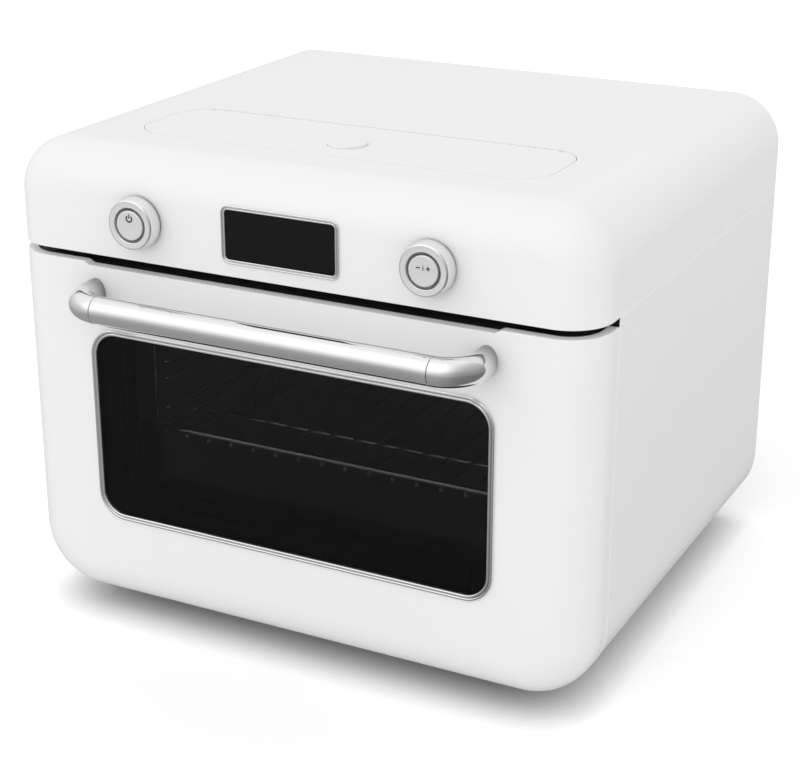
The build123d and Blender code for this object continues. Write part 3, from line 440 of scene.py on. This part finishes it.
def dished(radius, face, depth, steps):
    """A hollow face from its rim to its middle, as (radius, distance along).

    The radius falls evenly while the distance is face + depth times sin t, with t a quarter turn in all.
    """
    fall = np.sin(np.linspace(0, np.pi / 2, steps))
    return np.stack([np.linspace(radius, 0, steps), face + depth * fall], -1)


def shifted(profile, out):
    """A profile with out added to each outward distance."""
    return np.asarray(profile, float) + (out, 0.0)


def front_box(node):
    """Half width, half height and centre of a node seen from the front, with its front and back."""
    low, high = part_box(node)
    middle = (high.x + low.x) / 2, (high.z + low.z) / 2
    return (high.x - low.x) / 2, (high.z - low.z) / 2, middle, low.y, high.y


# Handle


class OvenHandleSettings(bpy.types.PropertyGroup):
    elbow_radius: bpy.props.FloatProperty(
        name="Elbow radius", description="Radius of the bend's centre line", default=25 * MM, unit="LENGTH"
    )
    foot_wide: bpy.props.FloatProperty(
        name="Foot width", description="Width of the oval foot on the door", default=17 * MM, unit="LENGTH"
    )
    foot_tall: bpy.props.FloatProperty(
        name="Foot height", description="Height of the oval foot on the door", default=24 * MM, unit="LENGTH"
    )
    joint_edge: bpy.props.FloatProperty(
        name="Joint edge", description="Chamfer where bar and elbow meet", default=0.35 * MM, unit="LENGTH"
    )


def bar_profile(half_long, radius, edge):
    """From pole to pole: a straight tube with a small chamfer at each end.

    The points are (radius, distance along), and the second half mirrors the first. A ring a little way in
    keeps the wall's shading even.
    """
    chamfer = [(radius - edge, half_long), (radius, half_long - edge)]
    end = np.array([(0, half_long), *chamfer, (radius, half_long - 5 * edge)])
    return np.concatenate([end, end[::-1] * (1, -1)])


def elbow_grid(side, start, radius, bend, face_y, settings, turns=28, neck_rings=10, rings=72):
    """A round section carried round the bend, which swells to the oval foot over the straight neck.

    In the bend the centre line is bend times (sin t, 1 - cos t), and along the neck's share s the section
    grows from the bar's radius to the foot's by 3 s squared minus 2 s cubed. The first rings are the end's
    middle and its chamfer.
    """
    turn = np.linspace(0, np.pi / 2, turns)
    neck = np.linspace(0, 1, neck_rings)[1:]
    x = np.concatenate([bend * np.sin(turn), np.full(len(neck), bend)])
    y = np.concatenate([bend * (1 - np.cos(turn)), bend + neck * (face_y - start[1] - bend)])
    lean = np.concatenate([turn, np.full(len(neck), np.pi / 2)])
    swell = np.concatenate([np.zeros(turns), neck * neck * (3 - 2 * neck)])
    wide = radius + swell * (settings.foot_wide / 2 - radius)
    tall = radius + swell * (settings.foot_tall / 2 - radius)
    edge = settings.joint_edge
    x, y, lean = (np.concatenate([part[:1], part[:1], part[:1], part, part[-1:]]) for part in (x, y, lean))
    wide = np.concatenate([[0, radius - edge, radius], wide, [0]])
    tall = np.concatenate([[0, radius - edge, radius], tall, [0]])
    x[2] += edge
    x[3] += 2 * edge
    around = np.linspace(0, 2 * np.pi, rings, endpoint=False)
    out = wide[:, None] * np.cos(around)
    across = x[:, None] + out * np.sin(lean)[:, None]
    back = y[:, None] - out * np.cos(lean)[:, None]
    up = tall[:, None] * np.sin(around)
    return (np.stack([across, back, up], -1) + start) * (side, 1, 1)


class OVEN_OT_handle(bpy.types.Operator):
    """Make the chrome bar and its two elbows"""

    bl_idname = "oven.handle"
    bl_label = "Handle"

    def execute(self, context):
        settings = context.scene.oven_handle
        low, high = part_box("handle_bar")
        radius = (high.z - low.z) / 2
        middle = np.array([0, (low.y + high.y) / 2, (low.z + high.z) / 2])
        bar = turned(bar_profile(high.x, radius, settings.joint_edge), middle, "x")
        put_piece("door_handle_bar", [(bar, False, True, 0)], ["chrome"], "door", "handle_bar")
        bend = settings.elbow_radius
        start = middle + (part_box("handle_elbows")[1].x - radius - bend, 0, 0)
        face_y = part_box("door_glass")[0].y
        elbows = [
            (elbow_grid(side, start, radius, bend, face_y, settings), False, True, 0) for side in (-1, 1)
        ]
        put_piece("door_handle_elbows", elbows, ["elbow_chrome"], "door", "handle_elbows", slot="chrome")
        return {"FINISHED"}


# Window and display


class OvenTrimSettings(bpy.types.PropertyGroup):
    window_corner: bpy.props.FloatProperty(
        name="Window corner",
        description="Outer corner radius of the window's trim",
        default=23.5 * MM,
        unit="LENGTH",
    )
    window_bead: bpy.props.FloatProperty(
        name="Window bead", description="Width of each of the two beads", default=2.5 * MM, unit="LENGTH"
    )
    display_corner: bpy.props.FloatProperty(
        name="Display corner",
        description="Outer corner radius of the display's trim",
        default=6.5 * MM,
        unit="LENGTH",
    )
    display_bead: bpy.props.FloatProperty(
        name="Display bead",
        description="Width of each bead of the display's trim",
        default=1.5 * MM,
        unit="LENGTH",
    )
    display_line: bpy.props.FloatProperty(
        name="Display line",
        description="Width of the groove between the beads",
        default=0.6 * MM,
        unit="LENGTH",
    )


class OVEN_OT_window_trim(bpy.types.Operator):
    """Make the two-bead chrome ring round the pane"""

    bl_idname = "oven.window_trim"
    bl_label = "Window trim"

    def execute(self, context):
        settings = context.scene.oven_trim
        wide, tall, (x, z), front, back = front_box("window_trim")
        width, height, sunk = settings.window_bead, back - front, -0.2 * MM
        beads = [shifted(bead(width, height), -width * (n + 0.5)) for n in range(2)]
        profile = np.concatenate([*beads, [(-2 * width, sunk), (0, sunk)]])
        ring = round_frame(profile, wide, tall, settings.window_corner, (x, back, z))
        put_piece("door_window_trim", [(ring, True, True, 0)], ["chrome"], "door", "window_trim")
        return {"FINISHED"}


class OVEN_OT_display(bpy.types.Operator):
    """Make the display's double-line trim and its black glass"""

    bl_idname = "oven.display"
    bl_label = "Display"

    def execute(self, context):
        settings = context.scene.oven_trim
        wide, tall, (x, z), front, _ = front_box("display_trim")
        glass_wide, glass_tall, _, glass_front, glass_back = front_box("display_glass")
        width, line, corner = settings.display_bead, settings.display_line, settings.display_corner
        glass_proud, sunk, pane_edge = 0.8 * MM, -1.2 * MM, 0.3 * MM
        inner_share, groove_share = 0.85, 0.25
        height = glass_front - front + glass_proud
        outer = shifted(bead(width, height), -width / 2)
        inner = shifted(bead(width, height * inner_share), -width * 1.5 - line)
        groove = [(-width, groove_share * height), (-width - line, groove_share * height)]
        foot = [(-2 * width - line, sunk), (0, sunk)]
        profile = np.concatenate([outer, groove, inner, foot])
        ring = round_frame(profile, wide, tall, corner, (x, front + height, z))
        put_piece("display_chrome_trim", [(ring, True, True, 0)], ["chrome"], "oven", "display_trim")
        outline = [(0, glass_front - glass_back), (0, -pane_edge), (-pane_edge, 0)]
        pane_corner = corner - (wide - glass_wide)
        pane = round_frame(outline, glass_wide, glass_tall, pane_corner, (x, glass_front, z))
        middle = np.array([[(x, glass_back, z)], [(x, glass_front, z)]]) + np.zeros((2, pane.shape[0], 3))
        parts = [middle[:1].transpose(1, 0, 2), pane, middle[1:].transpose(1, 0, 2)]
        closed = np.concatenate(parts, axis=1)
        put_piece("display_pane", [(closed, True, False, 0)], ["display_black"], "oven", "display_glass")
        return {"FINISHED"}


# Dials


class OvenDialSettings(bpy.types.PropertyGroup):
    # The dark washer's black also draws the shade line at the dial's foot, partly as painted shade.
    base_line: bpy.props.FloatProperty(
        name="Base line",
        description="Height of the dark washer under the dial",
        default=0.8 * MM,
        unit="LENGTH",
    )
    rim: bpy.props.FloatProperty(
        name="Rim", description="Radius of the dial's front rim", default=1.4 * MM, unit="LENGTH"
    )
    taper: bpy.props.FloatProperty(
        name="Taper",
        description="How much narrower the dial is at its face",
        default=1.1 * MM,
        unit="LENGTH",
    )
    bore: bpy.props.FloatProperty(
        name="Bore", description="Radius of the dial's bore", default=13.7 * MM, unit="LENGTH"
    )
    cap_edge: bpy.props.FloatProperty(
        name="Cap edge", description="Rounding of the cap", default=0.6 * MM, unit="LENGTH"
    )
    sign_raise: bpy.props.FloatProperty(
        name="Sign height",
        description="How far a printed sign stands proud",
        default=0.06 * MM,
        unit="LENGTH",
    )


def dial_grids(node, settings):
    """The chrome side, the satin face and the dark washer of one dial, all turned about its own axis.

    Each is a profile of (radius, place along Y), straight between its points but for the round rim. The
    washer's near-black is partly painted shade: it draws the dark shade line at the dial's foot.
    """
    wide, _, (x, z), front, back = front_box(node)
    bore = settings.bore
    base = back - settings.base_line
    washer_wide, foot_edge, side_start = wide - 0.5 * MM, 0.2 * MM, 1.5 * MM
    face_step, face_sunk, bore_edge = 0.35 * MM, 0.06 * MM, 0.4 * MM
    rim = rounded_corner((wide - settings.taper, front), (wide, back), (bore, front), settings.rim, 7)
    foot = [(bore, base), (wide - foot_edge, base), (wide, base - foot_edge), (wide, base - side_start)]
    chrome = np.concatenate([foot, rim])
    face = [(rim[-1][0] - face_step, front + face_sunk), (bore + bore_edge, front), (bore, front + bore_edge)]
    satin = [rim[-1], *face, foot[0]]
    # Painted shade: the washer's near-black also draws the dark shade line at the dial's foot.
    washer = [(bore, back), (washer_wide, back), (washer_wide, base), (bore, base)]
    profiles = [(chrome, False), (satin, False), (washer, True)]
    return [
        (turned(profile, (x, 0, z), "y"), closed, True, number)
        for number, (profile, closed) in enumerate(profiles)
    ]


def cap_grids(node, settings):
    """A shallow disc with a rounded edge, very slightly dished, on its stem.

    Its profile of (radius, place along Y) is turned about the cap's axis.
    """
    wide, _, (x, z), front, back = front_box(node)
    edge, thick, stem, dish_depth = settings.cap_edge, 7 * MM, 4 * MM, 0.25 * MM
    rim = rounded_corner((wide, front), (wide, back), (0, front), edge, 6)
    under = [(0, back), (stem, back), (stem, front + thick), (wide, front + thick), (wide, front + 2 * edge)]
    profile = np.concatenate([under, rim, dished(wide - edge, front, dish_depth, 9)])
    return [(turned(profile, (x, 0, z), "y"), False, True, 0)]


def stroke(path, width, face, raised):
    """A flat stroke of even width along a path seen from the front, with closed ends, standing on face.

    A corner is the path's point plus or minus half the width times the direction square to the path, at the
    depth of face or raised in front of it.
    """
    path = np.asarray(path, float)
    ahead = np.gradient(path, axis=0)
    ahead /= np.linalg.norm(ahead, axis=1)[:, None]
    aside = np.stack([-ahead[:, 1], ahead[:, 0]], -1) * width / 2
    corners = np.stack([path + aside, path + aside, path - aside, path - aside], 1)
    depth = np.array([face, face - raised, face - raised, face]) + np.zeros((len(path), 1))
    ring = np.stack([corners[:, :, 0], depth, corners[:, :, 1]], -1)
    ends = [np.broadcast_to(end.mean(0), (1, 4, 3)) for end in (ring[0], ring[-1])]
    return np.concatenate([ends[0], ring, ends[1]])


def power_sign(x, z, above=5.3 * MM, radius=2.45 * MM, width=1.0 * MM):
    """An open ring with a bar in its gap, well above the middle, as pairs of a path and its width.

    A point of the ring is its centre + radius times (cos a, sin a), with a gap about the upright.
    """
    z += above
    half_gap, top, points = 38, 90, 30
    angle = np.radians(np.linspace(top + half_gap, top + 360 - half_gap, points))
    ring = np.stack([x + radius * np.cos(angle), z + radius * np.sin(angle)], -1)
    bar_foot, bar_head = 0.1 * radius, 1.4 * radius
    return [(ring, width), ([(x, z + bar_foot), (x, z + bar_head)], 0.8 * width)]


def plus_minus_sign(x, z, above=2.2 * MM, arm=1.5 * MM, spacing=3.9 * MM, width=0.7 * MM):
    """A minus, a thin divider and a plus in a row a little above the middle, as pairs of a path and width."""
    z += above
    left, right, half_tall = x - spacing, x + spacing, 1.2 * arm
    minus = [(left - arm, z), (left + arm, z)]
    divider = [(x, z - half_tall), (x, z + half_tall)]
    across = [(right - arm, z), (right + arm, z)]
    upright = [(right, z - arm), (right, z + arm)]
    return [(minus, width), (divider, width / 2), (across, width), (upright, width)]


class OVEN_OT_dials(bpy.types.Operator):
    """Make the two dials with their push caps and signs"""

    bl_idname = "oven.dials"
    bl_label = "Dials"

    def execute(self, context):
        settings = context.scene.oven_dials
        finishes = ["dial_chrome", "satin_metal", "dark_plastic"]
        sunk = 0.3 * MM
        for side, sign in (("left", power_sign), ("right", plus_minus_sign)):
            dial, cap = side + "_knob", side + "_knob_cap"
            ring = dial_grids(dial, settings)
            put_piece(side + "_dial_ring", ring, finishes, side + "_dial", dial, slot="chrome")
            put_piece(side + "_push_cap", cap_grids(cap, settings), ["satin_metal"], side + "_cap", cap)
            _, _, (x, z), front, _ = front_box(cap)
            strokes = [
                (stroke(path, width, front + sunk, sunk + settings.sign_raise), False, True, 0)
                for path, width in sign(x, z)
            ]
            put_piece(side + "_cap_sign", strokes, ["black_paint"], side + "_cap")
        return {"FINISHED"}


# Tank button


class OvenButtonSettings(bpy.types.PropertyGroup):
    edge: bpy.props.FloatProperty(
        name="Edge", description="Rounding of the button's rim", default=0.8 * MM, unit="LENGTH"
    )
    dish: bpy.props.FloatProperty(
        name="Dish", description="Depth of the hollow in the button's top", default=0.5 * MM, unit="LENGTH"
    )


class OVEN_OT_tank_button(bpy.types.Operator):
    """Make the round push button of the tank's lid"""

    bl_idname = "oven.tank_button"
    bl_label = "Tank button"

    def execute(self, context):
        settings = context.scene.oven_button
        low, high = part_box("tank_button")
        radius, top = (high.x - low.x) / 2, high.z
        middle = ((high.x + low.x) / 2, (high.y + low.y) / 2, 0)
        edge, stem, under_lid = settings.edge, 4 * MM, 5 * MM
        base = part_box("tank_lid")[1].z - under_lid
        rim = rounded_corner((radius, top), (radius, low.z), (0, top), edge, 7)
        dish = dished(radius - edge, top, -settings.dish, 12)
        under = [(0, low.z), (stem, low.z), (stem, base), (radius, base), (radius, top - 2 * edge)]
        grid = turned(np.concatenate([under, rim, dish]), middle, "z")
        put_piece("tank_push_button", [(grid, False, True, 0)], ["white_plastic"], "button", "tank_button")
        return {"FINISHED"}


# Rolled edges along the seams


class OvenSeamSettings(bpy.types.PropertyGroup):
    edge_radius: bpy.props.FloatProperty(
        name="Edge radius", description="Radius of the rolled sheet edge", default=0.5 * MM, unit="LENGTH"
    )
    set_in: bpy.props.FloatProperty(
        name="Set in",
        description="Depth of the edge's centre line under the skin",
        default=0.2 * MM,
        unit="LENGTH",
    )
    behind: bpy.props.FloatProperty(
        name="Behind",
        description="How far the casing's edge stands behind the door's",
        default=0.75 * MM,
        unit="LENGTH",
    )
    bottom_corner: bpy.props.FloatProperty(
        name="Bottom corner",
        description="Radius of the body's lower corners",
        default=56 * MM,
        unit="LENGTH",
    )
    front_round: bpy.props.FloatProperty(
        name="Front rounding",
        description="Radius that the body's sides turn to the front with",
        default=34 * MM,
        unit="LENGTH",
    )
    hinge_in: bpy.props.FloatProperty(
        name="Hinge depth", description="Hinge axis behind the front", default=16 * MM, unit="LENGTH"
    )
    hinge_up: bpy.props.FloatProperty(
        name="Hinge height",
        description="Hinge axis above the body's underside",
        default=34 * MM,
        unit="LENGTH",
    )
    foot_lip: bpy.props.FloatProperty(
        name="Foot lip",
        description="Where the seam ends, behind the hinge axis",
        default=7 * MM,
        unit="LENGTH",
    )


def rolled_edge(path, radius, upright, steps=10):
    """A round section carried along a path and closed at both ends.

    A point is the path's + radius times (cos a times aside + sin a times over), both square to the path.
    """
    ahead = np.gradient(path, axis=0)
    ahead /= np.linalg.norm(ahead, axis=1)[:, None]
    aside = np.cross(ahead, upright)
    aside /= np.linalg.norm(aside, axis=1)[:, None]
    over = np.cross(aside, ahead)
    angle = np.linspace(0, 2 * np.pi, steps, endpoint=False)[:, None]
    ring = path[:, None] + radius * (np.cos(angle) * aside[:, None] + np.sin(angle) * over[:, None])
    ends = [np.broadcast_to(path[end], (1, steps, 3)) for end in (0, -1)]
    return np.concatenate([ends[0], ring, ends[1]])


def casing_side_edge(settings, seam_y, steps=24):
    """Straight back along the seam between top shell and casing, at the middle of its gap."""
    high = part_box("lower_casing")[1]
    height = (high.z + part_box("top_shell")[0].z) / 2
    short_of_back = 1 * MM
    along = np.linspace(seam_y, high.y - short_of_back, steps)
    return np.stack([np.full(steps, high.x - settings.set_in), along, np.full(steps, height)], -1)


def casing_front_edge(settings, seam_y, steps=40):
    """Down the side, round the lower corner, and forward under the hinge on a circle about its axis.

    At height z under the hinge the edge lies behind it by the root of (reach squared - (hinge height - z)
    squared), and where the body turns to the front it moves in by r (1 - cos f), with sin f = 1 - (y - front)
    / r.
    """
    low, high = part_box("lower_casing")
    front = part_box("top_shell")[0].y
    hinge_y, hinge_z = front + settings.hinge_in, low.z + settings.hinge_up
    reach = seam_y - hinge_y
    corner, centre_z = settings.bottom_corner - settings.set_in, low.z + settings.bottom_corner
    last = math.asin((centre_z - hinge_z + math.sqrt(reach**2 - settings.foot_lip**2)) / corner)
    turn = np.concatenate([np.zeros(steps), np.linspace(0, last, steps)[1:]])
    straight = np.linspace(high.z - settings.edge_radius, centre_z, steps)
    drop = np.concatenate([straight, np.full(steps - 1, centre_z)])
    outward = np.stack([np.cos(turn), -np.sin(turn)], -1)
    section = np.stack([np.full(len(turn), high.x - settings.bottom_corner), drop], -1) + corner * outward
    under = np.clip(hinge_z - section[:, 1], 0, reach)
    y = hinge_y + np.sqrt(reach**2 - under**2)
    lean = np.arcsin(np.clip(1 - (y - front) / settings.front_round, 0, 1))
    section -= (settings.front_round * (1 - np.cos(lean)))[:, None] * outward
    return np.stack([section[:, 0], y, section[:, 1]], -1)


class OVEN_OT_seams(bpy.types.Operator):
    """Make the rolled edges that show as pale lines in the housing's seams"""

    bl_idname = "oven.seams"
    bl_label = "Seams"

    def execute(self, context):
        settings = context.scene.oven_seams
        seam_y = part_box("door_shell")[1].y + settings.behind
        side, down = casing_side_edge(settings, seam_y), casing_front_edge(settings, seam_y)
        named = (("shell_rolled_edge", side, (0, 0, 1)), ("casing_rolled_edge", down, (0, 1, 0)))
        for name, path, upright in named:
            edge = rolled_edge(path, settings.edge_radius, upright)
            grids = [(edge * (mirror, 1, 1), False, True, 0) for mirror in (-1, 1)]
            # The edges' whiter finish is a painted highlight along the seams.
            put_piece(name, grids, ["white_edge"], "oven", slot="white_paint")
        return {"FINISHED"}


# Stage


class OvenStageSettings(bpy.types.PropertyGroup):
    camera_place: bpy.props.FloatVectorProperty(
        name="Camera place",
        description="Where the camera stands",
        default=(0.668, -1.300, 0.737),
        subtype="TRANSLATION",
    )
    camera_tilt: bpy.props.FloatProperty(
        name="Camera tilt",
        description="Angle from straight down",
        default=math.radians(68.93),
        subtype="ANGLE",
    )
    camera_turn: bpy.props.FloatProperty(
        name="Camera turn",
        description="Turn about the upright axis",
        default=math.radians(27.15),
        subtype="ANGLE",
    )
    lens: bpy.props.FloatProperty(name="Lens", description="Focal length in millimetres", default=83.5)
    sky: bpy.props.FloatProperty(
        name="Sky", description="Strength of the even studio light", default=0.88, min=0
    )
    horizon: bpy.props.FloatProperty(
        name="Horizon",
        description="How bright metal sees the studio's walls, with its ceiling at 1",
        default=0.64,
        min=0,
    )
    right_wall: bpy.props.FloatProperty(
        name="Right wall",
        description="How bright metal sees the studio's right side, with its left at 1",
        default=0.5,
        min=0,
    )
    key: bpy.props.FloatProperty(
        name="Key", description="Strength of the soft light from the front left", default=0.45
    )
    key_glow: bpy.props.FloatProperty(
        name="Key glow",
        description="How much brighter metal sees the studio towards the soft light",
        default=0.3,
        min=0,
    )
    key_size: bpy.props.FloatProperty(
        name="Key size",
        description="Apparent width of the soft light",
        default=math.radians(70),
        subtype="ANGLE",
    )
    key_from: bpy.props.FloatVectorProperty(
        name="Key from",
        description="Direction that the soft light comes from",
        default=(-0.25, -0.73, 0.64),
    )
    floor_half: bpy.props.FloatProperty(
        name="Floor reach", description="Half the width of the floor", default=20.0, unit="LENGTH"
    )
    floor_white: bpy.props.FloatProperty(
        name="Floor white", description="How pale the floor is", default=0.93, max=1
    )
    floor_lift: bpy.props.FloatProperty(
        name="Floor lift",
        description="How much paler than that the camera sees the floor",
        default=0.3,
        min=0,
    )
    floor_grey: bpy.props.FloatProperty(
        name="Floor grey",
        description="How bright metal sees the floor beside the oven, with its far part at 1",
        default=0.6,
    )
    contact: bpy.props.FloatProperty(
        name="Contact",
        description="How far the dark of the contact shadow reaches",
        default=0.035,
        unit="LENGTH",
    )
    contact_depth: bpy.props.FloatProperty(
        name="Contact depth",
        description="How dark the contact shadow gets, 1 for black",
        default=0.69,
        min=0,
        max=1,
    )


def dimmed_for_metal(tree, rays, strength):
    """1 for every ray but the glossy ones, which get strength."""
    less = math_node(tree, "SUBTRACT", 1.0, strength)
    return math_node(tree, "SUBTRACT", 1.0, math_node(tree, "MULTIPLY", rays["Is Glossy Ray"], less))


def studio_walls(tree, direction, settings):
    """How bright metal sees the studio that way: full overhead, less at the horizon and to the right."""
    towards = apart(tree, direction)
    level, overhead = 0.0, 0.6
    ahead, to_the_right = 0.1, 0.9
    upward = fade(tree, towards["Z"], level, overhead, settings.horizon)
    rightward = fade(tree, towards["X"], ahead, to_the_right, 1.0, settings.right_wall)
    return math_node(tree, "MULTIPLY", upward, rightward)


def make_sky(settings):
    """An even light for the object, white where it is seen, with darker walls in the reflections of metal."""
    world = bpy.data.worlds.new("studio")
    bpy.context.scene.world = world
    world.use_nodes = True
    tree = world.node_tree
    nodes, links = tree.nodes, tree.links
    light = nodes["Background"]
    light.inputs["Strength"].default_value = settings.sky
    light.inputs["Color"].default_value = (1, 1, 1, 1)
    rays = nodes.new("ShaderNodeLightPath").outputs
    towards = nodes.new("ShaderNodeTexCoord").outputs["Generated"]
    facing = vector_node(tree, "DOT_PRODUCT", towards, Vector(settings.key_from).normalized())
    glow_edge, glow_middle = 0.6, 1.0
    glow = fade(tree, facing.outputs["Value"], glow_edge, glow_middle, 0.0, settings.key_glow)
    seen = math_node(tree, "ADD", studio_walls(tree, towards, settings), glow)
    white = nodes.new("ShaderNodeBackground")
    white.inputs["Color"].default_value = (1, 1, 1, 1)
    links.new(dimmed_for_metal(tree, rays, seen), white.inputs["Strength"])
    direct = math_node(tree, "MAXIMUM", rays["Is Camera Ray"], rays["Is Glossy Ray"])
    direct = math_node(tree, "MAXIMUM", direct, rays["Is Transmission Ray"])
    mixed = nodes.new("ShaderNodeMixShader")
    links.new(direct, mixed.inputs["Fac"])
    links.new(light.outputs[0], mixed.inputs[1])
    links.new(white.outputs[0], mixed.inputs[2])
    links.new(mixed.outputs[0], nodes["World Output"].inputs["Surface"])


def floor_finish(settings):
    """Matt white, paler to the camera but darker in corners, and greyer by the oven as metal sees it."""
    material = bpy.data.materials.new("floor_white")
    material.use_nodes = True
    tree = material.node_tree
    nodes, links = tree.nodes, tree.links
    nodes.remove(nodes["Principled BSDF"])
    rays = nodes.new("ShaderNodeLightPath").outputs
    direct = math_node(tree, "MAXIMUM", rays["Is Camera Ray"], rays["Is Transmission Ray"])
    paler = math_node(tree, "ADD", 1.0, math_node(tree, "MULTIPLY", direct, settings.floor_lift))
    # Painted contact shadow: ambient occlusion darkens the floor's colour where the camera sees it.
    corner = nodes.new("ShaderNodeAmbientOcclusion")
    corner.inputs["Distance"].default_value = settings.contact
    hidden = math_node(tree, "SUBTRACT", 1.0, corner.outputs["AO"])
    hidden = math_node(tree, "MULTIPLY", hidden, settings.contact_depth)
    open_part = math_node(tree, "SUBTRACT", 1.0, math_node(tree, "MULTIPLY", direct, hidden))
    place = nodes.new("ShaderNodeTexCoord").outputs["Object"]
    away = vector_node(tree, "LENGTH", place).outputs["Value"]
    outward = vector_node(tree, "NORMALIZE", place).outputs["Vector"]
    beside, far_off = 0.3, 2.5
    faded = fade(tree, away, beside, far_off, settings.floor_grey)
    faded = math_node(tree, "MULTIPLY", faded, studio_walls(tree, outward, settings))
    shade = math_node(tree, "MULTIPLY", paler, open_part)
    shade = math_node(tree, "MULTIPLY", shade, dimmed_for_metal(tree, rays, faded))
    shade = math_node(tree, "MULTIPLY", shade, settings.floor_white)
    matt = nodes.new("ShaderNodeBsdfDiffuse")
    links.new(shade, matt.inputs["Color"])
    links.new(matt.outputs[0], nodes["Material Output"].inputs["Surface"])
    return material


def make_floor(settings):
    """One wide square at the height of the feet."""
    half = settings.floor_half
    mesh = bpy.data.meshes.new("floor")
    corners = [(-half, -half, 0), (half, -half, 0), (half, half, 0), (-half, half, 0)]
    mesh.from_pydata(corners, [], [(0, 1, 2, 3)])
    floor = bpy.data.objects.new("floor", mesh)
    bpy.context.scene.collection.objects.link(floor)
    mesh.materials.append(floor_finish(settings))


def make_key(settings):
    """A wide soft lamp; metal sees the glow in the sky instead of its hard-edged disc."""
    lamp = bpy.data.lights.new("key", "SUN")
    lamp.energy = settings.key
    lamp.angle = settings.key_size
    key = bpy.data.objects.new("key", lamp)
    key.rotation_euler = Vector(settings.key_from).to_track_quat("Z", "Y").to_euler()
    key.visible_glossy = False
    bpy.context.scene.collection.objects.link(key)


def make_camera(settings):
    """The photograph's place, direction and field of view."""
    camera = bpy.data.objects.new("camera", bpy.data.cameras.new("camera"))
    camera.data.lens = settings.lens
    camera.data.sensor_width = 36.0
    camera.location = settings.camera_place
    camera.rotation_euler = (settings.camera_tilt, 0, settings.camera_turn)
    bpy.context.scene.collection.objects.link(camera)
    bpy.context.scene.camera = camera


class OVEN_OT_stage(bpy.types.Operator):
    """Make the white floor, the studio light and the camera"""

    bl_idname = "oven.stage"
    bl_label = "Stage"

    def execute(self, context):
        settings = context.scene.oven_stage
        make_sky(settings)
        make_floor(settings)
        make_key(settings)
        make_camera(settings)
        context.scene.view_settings.view_transform = "Standard"
        return {"FINISHED"}


# Panel and registering


class OVEN_PT_panel(bpy.types.Panel):
    bl_label = "Steam Oven"
    bl_idname = "OVEN_PT_panel"
    bl_space_type = "VIEW_3D"
    bl_region_type = "UI"
    bl_category = "Steam Oven"

    def draw(self, context):
        for operator in OPERATORS:
            self.layout.operator(operator.bl_idname)


SETTINGS = {
    "oven_finishes": OvenFinishSettings,
    "oven_handle": OvenHandleSettings,
    "oven_trim": OvenTrimSettings,
    "oven_dials": OvenDialSettings,
    "oven_button": OvenButtonSettings,
    "oven_seams": OvenSeamSettings,
    "oven_stage": OvenStageSettings,
}
OPERATORS = [
    OVEN_OT_frame_finishes,
    OVEN_OT_handle,
    OVEN_OT_window_trim,
    OVEN_OT_display,
    OVEN_OT_dials,
    OVEN_OT_tank_button,
    OVEN_OT_seams,
    OVEN_OT_stage,
]
CLASSES = [*SETTINGS.values(), *OPERATORS, OVEN_PT_panel]


def register():
    for made in CLASSES:
        bpy.utils.register_class(made)
    for name, group in SETTINGS.items():
        setattr(bpy.types.Scene, name, bpy.props.PointerProperty(type=group))


def unregister():
    for name in SETTINGS:
        delattr(bpy.types.Scene, name)
    for made in reversed(CLASSES):
        bpy.utils.unregister_class(made)


def main():
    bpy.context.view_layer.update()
    register()
    for operator in OPERATORS:
        group, name = operator.bl_idname.split(".")
        getattr(getattr(bpy.ops, group), name)()


if __name__ == "__main__":
    main()
